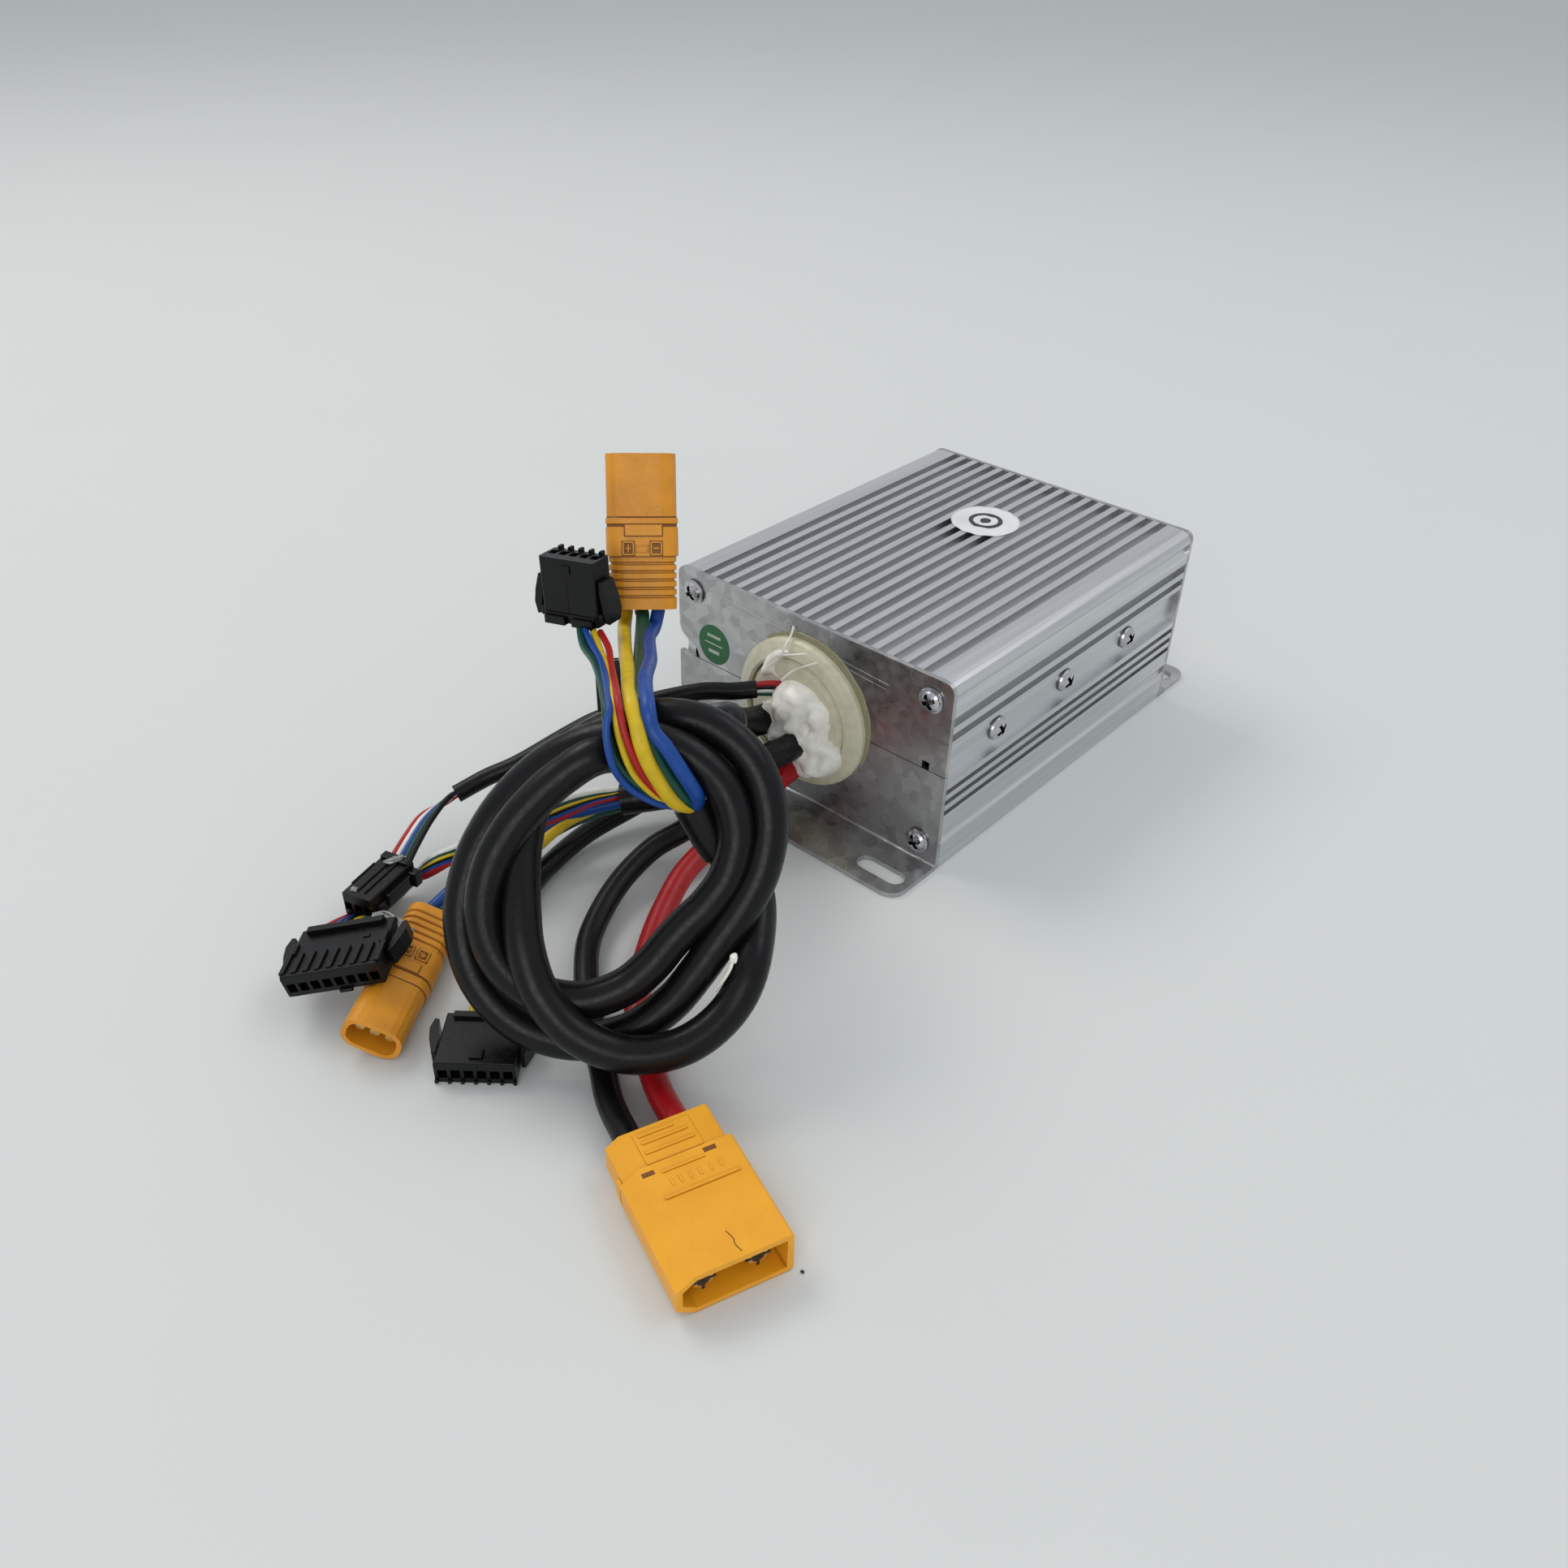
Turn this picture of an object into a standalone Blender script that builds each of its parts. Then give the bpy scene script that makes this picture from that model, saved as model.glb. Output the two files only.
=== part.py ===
"""Electronic speed controller for an electric scooter: a finned aluminium case with its coiled leads and plugs.

Metres, +Z up. The case stands on its feet at z = 0, its length runs along Y, and the leads leave at -Y.
"""

import math

import bmesh
import bpy
from mathutils import Matrix, Vector

for stale in list(bpy.data.objects):
    bpy.data.objects.remove(stale, do_unlink=True)

MM = 0.001
GAP = 0.05

# Case extrusion
CASE_WIDTH = 82.6
CASE_HEIGHT = 49.9
CASE_LENGTH = 106.0
PLATE_THICK = 1.2
WALL_SIDE = 37.0
FLOOR_THICK = 2.2
ROOF_UNDER = 45.0
FIN_COUNT = 16
FIN_FIELD = 68.2
FIN_WIDTH = 1.92
FIN_DEPTH = 2.4
SHOULDER_RADIUS = 2.6
CHANNEL_TOP = 33.9
CHANNEL_BOTTOM = 24.0

# End plates and their screws
SCREW_X = 35.8
SCREW_TOP = 44.4
SCREW_LOW = 6.3
FOOT_REACH = 15.4
FOOT_CORNER = 4.0
SLOT_LENGTH = 13.0
SLOT_WIDTH = 4.8
SLOT_X = 32.8
SLOT_OUT = 9.5
SEAM_Z = 26.1

# Cable outlet
GROMMET_Z = 25.9
GROMMET_RADIUS = 19.0
GROMMET_BORE = 14.6
GROMMET_NECK = 15.6

# Cables
MOTOR_CABLE = 7.2
SECOND_CABLE = 6.6
BATTERY_WIRE = 5.0
DISPLAY_CABLE = 4.2

HALF_W = CASE_WIDTH / 2
HALF_L = CASE_LENGTH / 2


def material(name, color, metallic, roughness):
    mat = bpy.data.materials.new(name)
    mat.use_nodes = True
    shader = mat.node_tree.nodes["Principled BSDF"]
    shader.inputs["Base Color"].default_value = (*color, 1.0)
    shader.inputs["Metallic"].default_value = metallic
    shader.inputs["Roughness"].default_value = roughness
    mat.diffuse_color = (*color, 1.0)
    return mat


ALUMINIUM = ("aluminium", (0.62, 0.63, 0.63), 1.0, 0.42)
GALVANISED = ("galvanised", (0.48, 0.49, 0.49), 1.0, 0.40)
ZINC = ("zinc", (0.66, 0.67, 0.68), 1.0, 0.22)
IVORY = ("ivory_nylon", (0.86, 0.84, 0.74), 0.0, 0.45)
SILICONE = ("white_silicone", (0.86, 0.86, 0.82), 0.0, 0.40)
BLACK_RUBBER = ("black_rubber", (0.018, 0.018, 0.02), 0.0, 0.48)
BLACK_NYLON = ("black_nylon", (0.022, 0.022, 0.024), 0.0, 0.42)
PLUG_YELLOW = ("plug_yellow", (0.92, 0.66, 0.05), 0.0, 0.40)
PLUG_AMBER = ("plug_amber", (0.86, 0.45, 0.04), 0.0, 0.45)
GOLD = ("gold", (0.83, 0.62, 0.24), 1.0, 0.20)
RED_SILICONE = ("red_silicone", (0.62, 0.02, 0.03), 0.0, 0.42)
BOARD = ("circuit_board", (0.02, 0.16, 0.07), 0.0, 0.45)
EPOXY = ("epoxy", (0.03, 0.03, 0.03), 0.0, 0.55)


def link(name, mesh, look):
    obj = bpy.data.objects.new(name, mesh)
    bpy.context.scene.collection.objects.link(obj)
    obj.data.materials.append(material(name + "_" + look[0], look[1], look[2], look[3]))
    return obj


def from_bmesh(name, bm, look):
    bmesh.ops.recalc_face_normals(bm, faces=bm.faces)
    mesh = bpy.data.meshes.new(name)
    bm.to_mesh(mesh)
    bm.free()
    return link(name, mesh, look)


def placed(origin, x_axis=(1, 0, 0), z_axis=(0, 0, 1)):
    """A frame at origin, in millimetres: x_axis is kept and z_axis is squared up to it."""
    x = Vector(x_axis).normalized()
    z = Vector(z_axis)
    z = (z - x * z.dot(x)).normalized()
    y = z.cross(x)
    frame = Matrix((x, y, z)).transposed().to_4x4()
    frame.translation = Vector(origin)
    return frame


WORLD = placed((0, 0, 0))


def add_prism(bm, outline, low, high, frame):
    """Adds the outline, in the frame's local X and Y, between two levels of its local Z."""
    bottom = [bm.verts.new((frame @ Vector((u, v, low))) * MM) for u, v in outline]
    top = [bm.verts.new((frame @ Vector((u, v, high))) * MM) for u, v in outline]
    count = len(outline)
    for index in range(count):
        after = (index + 1) % count
        bm.faces.new((bottom[index], bottom[after], top[after], top[index]))
    bm.faces.new(list(reversed(bottom)))
    bm.faces.new(top)


def prism(name, outline, low, high, frame, look):
    bm = bmesh.new()
    add_prism(bm, outline, low, high, frame)
    return from_bmesh(name, bm, look)


def add_turned(bm, profile, frame, steps, closed_ring):
    """Adds a body turned about the frame's local Z. The profile is a list of (radius, height)."""
    rings = []
    for radius, height in profile:
        if radius == 0:
            rings.append([bm.verts.new((frame @ Vector((0, 0, height))) * MM)])
            continue
        ring = []
        for step in range(steps):
            angle = 2 * math.pi * step / steps
            point = Vector((radius * math.cos(angle), radius * math.sin(angle), height))
            ring.append(bm.verts.new((frame @ point) * MM))
        rings.append(ring)
    pairs = list(zip(rings, rings[1:]))
    if closed_ring:
        pairs.append((rings[-1], rings[0]))
    for first, second in pairs:
        for step in range(steps):
            after = (step + 1) % steps
            if len(first) == 1:
                bm.faces.new((first[0], second[after], second[step]))
            elif len(second) == 1:
                bm.faces.new((first[step], first[after], second[0]))
            else:
                bm.faces.new((first[step], first[after], second[after], second[step]))


def turned(name, profile, frame, look, steps=24, closed_ring=False):
    bm = bmesh.new()
    add_turned(bm, profile, frame, steps, closed_ring)
    return from_bmesh(name, bm, look)


def rounded(width, height, radius, steps=4, centre=(0.0, 0.0)):
    points = []
    for corner in range(4):
        sign_x = 1 if corner in (0, 3) else -1
        sign_y = 1 if corner in (0, 1) else -1
        middle_x = centre[0] + sign_x * (width / 2 - radius)
        middle_y = centre[1] + sign_y * (height / 2 - radius)
        for step in range(steps + 1):
            angle = math.radians(90 * corner + 90 * step / steps)
            points.append((middle_x + radius * math.cos(angle), middle_y + radius * math.sin(angle)))
    return points


def circle(radius, steps=20, centre=(0.0, 0.0)):
    turn = 2 * math.pi / steps
    return [
        (centre[0] + radius * math.cos(turn * step), centre[1] + radius * math.sin(turn * step)) for step in range(steps)
    ]


def cutter(name):
    return name, bmesh.new()


def cut(obj, tool, operation="DIFFERENCE"):
    """Cuts obj with the closed shapes gathered in a tool."""
    name, bm = tool
    bmesh.ops.recalc_face_normals(bm, faces=bm.faces)
    mesh = bpy.data.meshes.new(name)
    bm.to_mesh(mesh)
    bm.free()
    helper = bpy.data.objects.new(name, mesh)
    bpy.context.scene.collection.objects.link(helper)
    helper.hide_render = True
    helper.display_type = "WIRE"
    modifier = obj.modifiers.new(name, "BOOLEAN")
    modifier.solver = "EXACT"
    modifier.operation = operation
    modifier.object = helper
    return obj


def smooth_route(points, spacing):
    """Points at an even spacing along a smooth curve through the route's own points, in millimetres."""
    knots = [Vector(point) for point in points]
    ends = [knots[0] * 2 - knots[1]] + knots + [knots[-1] * 2 - knots[-2]]
    fine = []
    for index in range(1, len(ends) - 2):
        before, start, stop, after = ends[index - 1 : index + 3]
        for step in range(24):
            t = step / 24
            fine.append(
                0.5
                * (
                    2 * start
                    + (stop - before) * t
                    + (2 * before - 5 * start + 4 * stop - after) * t**2
                    + (3 * start - before - 3 * stop + after) * t**3
                )
            )
    fine.append(knots[-1])
    total = sum((b - a).length for a, b in zip(fine, fine[1:]))
    count = max(2, round(total / spacing))
    even = [fine[0]]
    walked = 0.0
    target = total / count
    for a, b in zip(fine, fine[1:]):
        length = (b - a).length
        while walked + length >= target and len(even) < count:
            even.append(a.lerp(b, (target - walked) / length))
            target += total / count
        walked += length
    even.append(fine[-1])
    return even


def cord(name, route, diameter, look, sides=2):
    points = smooth_route(route, 2.2 * diameter)
    curve = bpy.data.curves.new(name, "CURVE")
    curve.dimensions = "3D"
    curve.bevel_depth = diameter / 2 * MM
    curve.bevel_resolution = sides
    curve.use_fill_caps = True
    spline = curve.splines.new("POLY")
    spline.points.add(len(points) - 1)
    for spot, point in zip(spline.points, points):
        spot.co = (*(point * MM), 1.0)
    return link(name, curve, look)


# ---------------------------------------------------------------- case extrusion


def side_profile():
    """The right side from the shoulder down to the floor: a shallow groove, slots, ribs and the screw channel."""
    steps = []
    for step in range(5):
        angle = math.radians(90 - 90 * step / 4)
        steps.append(
            (
                HALF_W - SHOULDER_RADIUS + SHOULDER_RADIUS * math.cos(angle),
                CASE_HEIGHT - SHOULDER_RADIUS + SHOULDER_RADIUS * math.sin(angle),
            )
        )
    steps += [(HALF_W, 47.0), (HALF_W - 0.7, 46.3), (HALF_W - 0.9, 45.5), (HALF_W - 0.7, 44.6), (HALF_W, 43.9)]
    for top, bottom, depth in (
        (41.4, 39.0, 2.0),
        (37.2, 35.3, 2.0),
        (CHANNEL_TOP, CHANNEL_BOTTOM, 1.6),
        (22.3, 20.9, 2.0),
        (19.4, 18.0, 2.0),
        (16.5, 15.1, 2.0),
    ):
        steps += [(HALF_W, top), (HALF_W - depth, top), (HALF_W - depth, bottom), (HALF_W, bottom)]
    steps += [(HALF_W, 10.6), (HALF_W - 0.7, 9.9), (HALF_W - 0.9, 8.8), (HALF_W - 0.7, 7.7), (HALF_W, 7.0)]
    steps += [(HALF_W, 0.6), (HALF_W - 0.6, 0.0)]
    return steps


def case_outline():
    groove = (FIN_FIELD - FIN_COUNT * FIN_WIDTH) / (FIN_COUNT + 1)
    right = side_profile()
    left = [(-x, z) for x, z in reversed(right)]
    top = []
    x = -FIN_FIELD / 2
    for _ in range(FIN_COUNT + 1):
        floor = CASE_HEIGHT - FIN_DEPTH
        top += [(x, CASE_HEIGHT), (x, floor), (x + groove, floor), (x + groove, CASE_HEIGHT)]
        x += groove + FIN_WIDTH
    return top + right + left


body_half = HALF_L - PLATE_THICK - GAP
along_case = placed((0, 0, 0), (1, 0, 0), (0, -1, 0))
case = prism("case_extrusion", case_outline(), -body_half, body_half, along_case, ALUMINIUM)
tool = cutter("case_bore")
block_x = 31.0
block_low = 11.0
block_top = 39.8
inside = [
    (-block_x, FLOOR_THICK),
    (block_x, FLOOR_THICK),
    (block_x, block_low),
    (WALL_SIDE, block_low),
    (WALL_SIDE, block_top),
    (block_x, block_top),
    (block_x, ROOF_UNDER),
    (-block_x, ROOF_UNDER),
    (-block_x, block_top),
    (-WALL_SIDE, block_top),
    (-WALL_SIDE, block_low),
    (-block_x, block_low),
]
add_prism(tool[1], inside, -HALF_L - 5, HALF_L + 5, along_case)
for x in (-SCREW_X, SCREW_X):
    for z in (SCREW_LOW, SCREW_TOP):
        add_prism(tool[1], circle(1.5, 12, (x, z)), -HALF_L - 5, HALF_L + 5, along_case)
cut(case, tool)
SIDE_SCREWS = ((-31.4, 28.9), (-2.2, 28.9), (27.1, 28.9))
tool = cutter("case_side_holes")
for y, z in SIDE_SCREWS:
    add_prism(tool[1], circle(1.6, 16), 35.5, 44.0, placed((0, y, z), (0, 1, 0), (1, 0, 0)))
cut(case, tool)

# ---------------------------------------------------------------- end plates


def corner_piece(x, z, sign_x, sign_z, radius):
    """The sliver outside a rounded corner at (x, z), where the signs point out of the plate."""
    middle_x = x - sign_x * radius
    middle_z = z - sign_z * radius
    points = [(x + sign_x, z + sign_z), (x + sign_x, middle_z), (x, middle_z)]
    for step in range(1, 5):
        angle = math.radians(90 * step / 5)
        points.append((middle_x + sign_x * radius * math.cos(angle), middle_z + sign_z * radius * math.sin(angle)))
    points += [(middle_x, z), (middle_x, z + sign_z)]
    return points


def bent_plate(name, face, out, top):
    """A plate standing on the end of the case, bent out to a foot. face is its outer y, and out is -1 or 1."""
    back = face - out * PLATE_THICK
    bend = face + out * 0.6
    profile = [(face + out * FOOT_REACH, 0.0)]
    for step in range(6):
        angle = math.radians(90 * step / 5)
        profile.append((bend - out * 1.8 * math.sin(angle), 1.8 - 1.8 * math.cos(angle)))
    profile += [(back, top), (face, top)]
    for step in range(5):
        angle = math.radians(90 - 90 * step / 4)
        profile.append((bend - out * 0.6 * math.sin(angle), 1.8 - 0.6 * math.cos(angle)))
    profile.append((face + out * FOOT_REACH, PLATE_THICK))
    across = placed((0, 0, 0), (0, 1, 0), (1, 0, 0))
    plate = prism(name, profile, -HALF_W, HALF_W, across, GALVANISED)
    tool = cutter(name + "_cuts")
    for sign in (-1, 1):
        slot = rounded(SLOT_LENGTH, SLOT_WIDTH, SLOT_WIDTH / 2 - 0.01, 5, (sign * SLOT_X, face + out * SLOT_OUT))
        add_prism(tool[1], slot, -3, 4, WORLD)
        foot_end = face + out * FOOT_REACH
        add_prism(tool[1], corner_piece(sign * HALF_W, foot_end, sign, out, FOOT_CORNER), -3, 4, WORLD)
        screw_heights = [SCREW_LOW]
        if top > SCREW_TOP:
            screw_heights.append(SCREW_TOP)
            corner = corner_piece(sign * HALF_W, top, sign, 1, 2.2)
            add_prism(tool[1], corner, -face - 3, -face + 3, along_case)
        for z in screw_heights:
            add_prism(tool[1], circle(1.8, 14, (sign * SCREW_X, z)), -face - 3, -face + 3, along_case)
    if top < CASE_HEIGHT - 1:
        add_prism(tool[1], circle(GROMMET_NECK + 0.2, 40, (0, GROMMET_Z)), -face - 3, -face + 3, along_case)
    return cut(plate, tool)


def upper_plate_outline():
    radius = GROMMET_NECK + 0.2
    start = math.asin((SEAM_Z + 0.2 - GROMMET_Z) / radius)
    low = SEAM_Z + 0.2
    outline = [(-34.4, low)]
    for step in range(25):
        angle = math.pi - start - (math.pi - 2 * start) * step / 24
        outline.append((radius * math.cos(angle), GROMMET_Z + radius * math.sin(angle)))
    outline += [(34.8, low), (34.8, low + 2.0), (36.8, low + 2.0), (36.8, low), (HALF_W, low)]
    for step in range(5):
        angle = math.radians(90 * step / 4)
        outline.append((HALF_W - 2.2 + 2.2 * math.cos(angle), CASE_HEIGHT - 2.2 + 2.2 * math.sin(angle)))
    for step in range(5):
        angle = math.radians(90 + 90 * step / 4)
        outline.append((-HALF_W + 2.2 + 2.2 * math.cos(angle), CASE_HEIGHT - 2.2 + 2.2 * math.sin(angle)))
    outline += [(-HALF_W, 33.4), (-40.6, 31.6), (-39.0, 30.5), (-36.9, 29.6), (-35.2, 28.4)]
    return outline


upper = prism("front_plate_upper", upper_plate_outline(), HALF_L - PLATE_THICK, HALF_L, along_case, GALVANISED)
tool = cutter("upper_plate_holes")
for x in (-SCREW_X, SCREW_X):
    add_prism(tool[1], circle(1.8, 14, (x, SCREW_TOP)), HALF_L - 3, HALF_L + 3, along_case)
cut(upper, tool)
bent_plate("front_plate_lower", -HALF_L, -1, SEAM_Z)
bent_plate("rear_plate", HALF_L, 1, CASE_HEIGHT)

# ---------------------------------------------------------------- screws


def screw(name, seat, out, head_radius, head_height, shank, flange, look):
    """A cross-recess pan-head screw. seat is the point under its head, and out is the way the head faces."""
    side = (0, 0, 1) if abs(out[2]) < 0.9 else (1, 0, 0)
    frame = placed(seat, side, out)
    base = 0.06
    profile = [(0, -shank), (1.1, -shank), (1.38, -shank + 0.4), (1.38, base)]
    if flange:
        profile += [(head_radius, base), (head_radius, base + 0.55), (head_radius * 0.86, base + 0.75)]
        dome = head_radius * 0.8
    else:
        profile += [(head_radius, base), (head_radius, base + 0.5)]
        dome = head_radius * 0.94
    for step in range(4):
        angle = math.radians(25 + 65 * step / 4)
        profile.append((dome * math.cos(angle) / math.cos(math.radians(25)), base + head_height * math.sin(angle)))
    profile.append((0, base + head_height))
    body = turned(name, profile, frame, look, 20)
    tool = cutter(name + "_recess")
    arm = head_radius * 0.58
    wide = head_radius * 0.16
    cross = [
        (arm, -wide), (arm, wide), (wide, wide), (wide, arm), (-wide, arm), (-wide, wide),
        (-arm, wide), (-arm, -wide), (-wide, -wide), (-wide, -arm), (wide, -arm), (wide, -wide),
    ]
    spun = frame @ Matrix.Rotation(math.radians(31), 4, "Z")
    add_prism(tool[1], cross, base + head_height - 1.1, base + head_height + 1, spun)
    return cut(body, tool)


number = 0
for z in (SCREW_TOP, SCREW_LOW):
    for x in (-SCREW_X, SCREW_X):
        number += 1
        screw(f"front_screw_{number}", (x, -HALF_L, z), (0, -1, 0), 3.1, 1.9, 7.0, True, ZINC)
        screw(f"rear_screw_{number}", (x, HALF_L, z), (0, 1, 0), 3.1, 1.9, 7.0, True, ZINC)
for index, (y, z) in enumerate(SIDE_SCREWS):
    screw(f"side_screw_{index + 1}", (HALF_W - 1.6, y, z), (1, 0, 0), 3.0, 2.0, 5.9, False, ZINC)

# ---------------------------------------------------------------- cable outlet

outlet = placed((0, -HALF_L, GROMMET_Z), (1, 0, 0), (0, -1, 0))
turned(
    "cable_grommet",
    [
        (GROMMET_BORE, -5.0),
        (GROMMET_NECK, -5.0),
        (GROMMET_NECK, 0.06),
        (GROMMET_RADIUS, 0.06),
        (GROMMET_RADIUS, 1.3),
        (GROMMET_RADIUS - 0.5, 2.1),
        (GROMMET_RADIUS - 1.9, 2.9),
        (GROMMET_BORE + 0.6, 3.5),
        (GROMMET_BORE, 3.1),
    ],
    outlet,
    IVORY,
    40,
    True,
)
turned(
    "grommet_sealant",
    [(0, -4.0), (14.2, -4.0), (14.2, 2.6), (13.0, 3.5), (9.0, 4.1), (0, 4.2)],
    outlet,
    SILICONE,
    28,
)

# ---------------------------------------------------------------- inside the case

prism("circuit_board", rounded(61.0, 96.0, 1.5, 2), 7.6, 9.2, WORLD, BOARD)
bar = prism(
    "heat_bar", [(33.6, 11.3), (36.9, 11.3), (36.9, 37.5), (33.6, 37.5)], -44.0, 44.0, along_case, ALUMINIUM,
)
tool = cutter("heat_bar_holes")
for y, z in SIDE_SCREWS:
    add_prism(tool[1], circle(1.6, 12), 30.0, 40.0, placed((0, y, z), (0, 1, 0), (1, 0, 0)))
cut(bar, tool)
for index in range(6):
    y = -36.0 + 14.4 * index
    prism(
        f"mosfet_{index + 1}", rounded(10.2, 15.4, 0.4, 2, (y, 20.6)), 28.5, 33.0,
        placed((0, 0, 0), (0, 1, 0), (1, 0, 0)), EPOXY,
    )
turned(
    "bulk_capacitor",
    [(0, 9.4), (8.4, 9.4), (9.0, 10.0), (9.0, 11.2), (8.6, 11.9), (9.0, 12.6), (9.0, 38.4), (8.4, 39.2), (0, 39.2)],
    placed((-18.0, 30.0, 0)), EPOXY, 24,
)

# ---------------------------------------------------------------- battery plug, lying on the surface

BATTERY_PLUG = placed((83.1, -164.7, 0.1), (0.936, -0.352, 0), (0, 0, 1))
PLUG_W = 21.4
PLUG_H = 9.6


def battery_section(width, height, chamfer):
    """Section across the plug: square on its left, with two cut corners on its right."""
    half = width / 2
    return [
        (half, 0.5), (half, height - 0.5), (half - 0.5, height), (-half + chamfer, height),
        (-half, height - chamfer * 0.72), (-half, chamfer * 0.72), (-half + chamfer, 0.0), (half - 0.5, 0.0),
    ]


def along(frame):
    """Turns a frame so that a prism made in it runs along the frame's own X, with its outline in Y and Z."""
    return frame @ Matrix(((0, 0, 1, 0), (1, 0, 0, 0), (0, 1, 0, 0), (0, 0, 0, 1)))


shell = prism("battery_plug_shell", battery_section(PLUG_W, PLUG_H, 3.4), -23.4, 0.0, along(BATTERY_PLUG), PLUG_YELLOW)
tool = cutter("battery_socket")
mouth = [
    (9.5, 1.2), (9.5, 8.4), (-7.0, 8.4), (-9.5, 6.6), (-9.5, 3.0), (-7.0, 1.2),
]
add_prism(tool[1], mouth, -16.0, 3.0, along(BATTERY_PLUG))
cut(shell, tool)
cover = prism(
    "battery_plug_cover", battery_section(PLUG_W - 1.6, PLUG_H - 0.9, 2.6), -32.2, -23.5,
    along(BATTERY_PLUG), PLUG_YELLOW,
)
tool = cutter("battery_cover_bore")
for y in (-4.7, 4.7):
    add_prism(tool[1], circle(2.9, 14, (y, 4.4)), -40.0, -26.0, along(BATTERY_PLUG))
cut(cover, tool)
for index, y in enumerate((-5.0, 5.0)):
    turned(
        f"battery_pin_{index + 1}",
        [(0, -15.9), (2.25, -15.9), (2.25, -2.6), (1.9, -1.9), (0, -1.9)],
        along(BATTERY_PLUG) @ Matrix.Translation((y, 4.8, 0)), GOLD, 16,
    )

# ---------------------------------------------------------------- motor plugs

MOTOR_PLUG_A = placed((-26.1, -78.1, 89.3), (-0.300, 0.302, 0.905), (0.666, -0.611, 0.425))
MOTOR_PLUG_B = placed((-4.0, -174.5, 5.2), (0.558, -0.830, 0.0), (0.337, 0.228, 0.914))


def motor_plug(letter, frame, width, height, shell_length, rib_pitch, pins):
    """A three-pin bullet plug: a smooth shell whose mouth is at local x = 0, and a ribbed cover behind it."""
    body = prism(f"motor_plug_{letter}_shell", rounded(width, height, 3.3, 4), -shell_length, 0.0, along(frame), PLUG_AMBER)
    tool = cutter(f"motor_socket_{letter}")
    add_prism(tool[1], rounded(width - 2.0, height - 2.0, 2.4, 4), -13.0, 3.0, along(frame))
    cut(body, tool)
    bm = bmesh.new()
    first = -shell_length - 0.1
    levels = []
    for rib in range(5):
        start = first - rib_pitch * rib
        levels += [(start, 0.0), (start - rib_pitch * 0.55, 0.0), (start - rib_pitch * 0.67, 0.45), (start - rib_pitch * 0.88, 0.45)]
    last = first - rib_pitch * 5
    levels += [(last, 0.0), (last - 2.3, 0.1)]
    rings = []
    for level, inset in levels:
        ring = []
        for u, v in rounded(width - 0.4 - 2 * inset, height - 0.4 - 2 * inset, 3.1 - inset, 4):
            ring.append(bm.verts.new((along(frame) @ Vector((u, v, level))) * MM))
        rings.append(ring)
    count = len(rings[0])
    for near, far in zip(rings, rings[1:]):
        for index in range(count):
            after = (index + 1) % count
            bm.faces.new((near[index], near[after], far[after], far[index]))
    bm.faces.new(rings[0])
    bm.faces.new(list(reversed(rings[-1])))
    from_bmesh(f"motor_plug_{letter}_cover", bm, PLUG_AMBER)
    if not pins:
        return
    for index, y in enumerate((-3.1, 0.0, 3.1)):
        turned(
            f"motor_plug_{letter}_pin_{index + 1}",
            [(0, -12.9), (1.3, -12.9), (1.3, -2.4), (1.0, -2.0), (0, -2.0)],
            along(frame) @ Matrix.Translation((y, 0, 0)), GOLD, 12,
        )


motor_plug("a", MOTOR_PLUG_A, 14.6, 9.2, 21.0, 1.72, False)
motor_plug("b", MOTOR_PLUG_B, 12.0, 7.9, 23.2, 1.92, True)

# ---------------------------------------------------------------- signal plugs

PITCH = 2.5
LEVER_PIVOT = 7.0


def signal_plug(name, frame, ways, length, thick, levers, margin=0.6):
    """A wire-to-wire plug. Its mating face is at local x = 0, its width runs along local y, and z is its top."""
    width = ways * PITCH + margin
    outline = rounded(width, thick, 0.35, 2)
    body = prism(f"{name}_housing", outline, -length, 0.0, along(frame), BLACK_NYLON)
    tool = cutter(name + "_cavities")
    for way in range(ways):
        y = (way - (ways - 1) / 2) * PITCH
        add_prism(tool[1], rounded(1.8, 2.1, 0.1, 1, (y, -thick * 0.08)), -9.0, 2.0, along(frame))
    cut(body, tool)
    if not levers:
        return
    for sign, side in ((-1, "left"), (1, "right")):
        inner = width / 2 + 0.35
        lever = [
            (-length + 1.0, inner + 1.0), (-length + 0.8, inner + 1.9), (-length + 3.4, inner + 2.4),
            (-length + 6.2, inner + 1.9), (-length + 9.6, inner + 0.8), (-length + 9.6, inner),
            (-length + LEVER_PIVOT, inner),
        ]
        prism(
            f"{name}_lever_{side}", [(x, sign * y) for x, y in lever],
            -thick * 0.36, thick * 0.36, frame, BLACK_NYLON,
        )


PLUG_C = placed((-17.0, -173.2, 11.4), (0.639, -0.769, 0.022), (-0.204, -0.142, 0.969))
PLUG_E = placed((15.4, -165.1, 2.75), (0.652, -0.756, 0.0), (0, 0, 1))
PLUG_D = placed((-33.9, -156.3, 9.4), (0.30, -0.954, 0.0), (0, 0, 1))
PLUG_HALL = placed((-21.3, -101.9, 76.1), (-0.119, 0.062, 0.991), (0.249, -0.964, 0.090))
PLUG_F = placed((-17.5, -96.0, 51.0), (-0.30, 0.25, 0.92), (0.60, -0.60, 0.50))

signal_plug("hall_plug", PLUG_HALL, 5, 13.7, 5.9, True)
signal_plug("signal_plug_c", PLUG_C, 8, 14.1, 5.0, True)
signal_plug("signal_plug_e", PLUG_E, 6, 13.1, 5.2, True)
signal_plug("display_plug", PLUG_D, 3, 14.6, 6.2, False, -0.2)
signal_plug("throttle_plug", PLUG_F, 3, 12.0, 4.4, False)

# ---------------------------------------------------------------- the coiled motor cable

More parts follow.
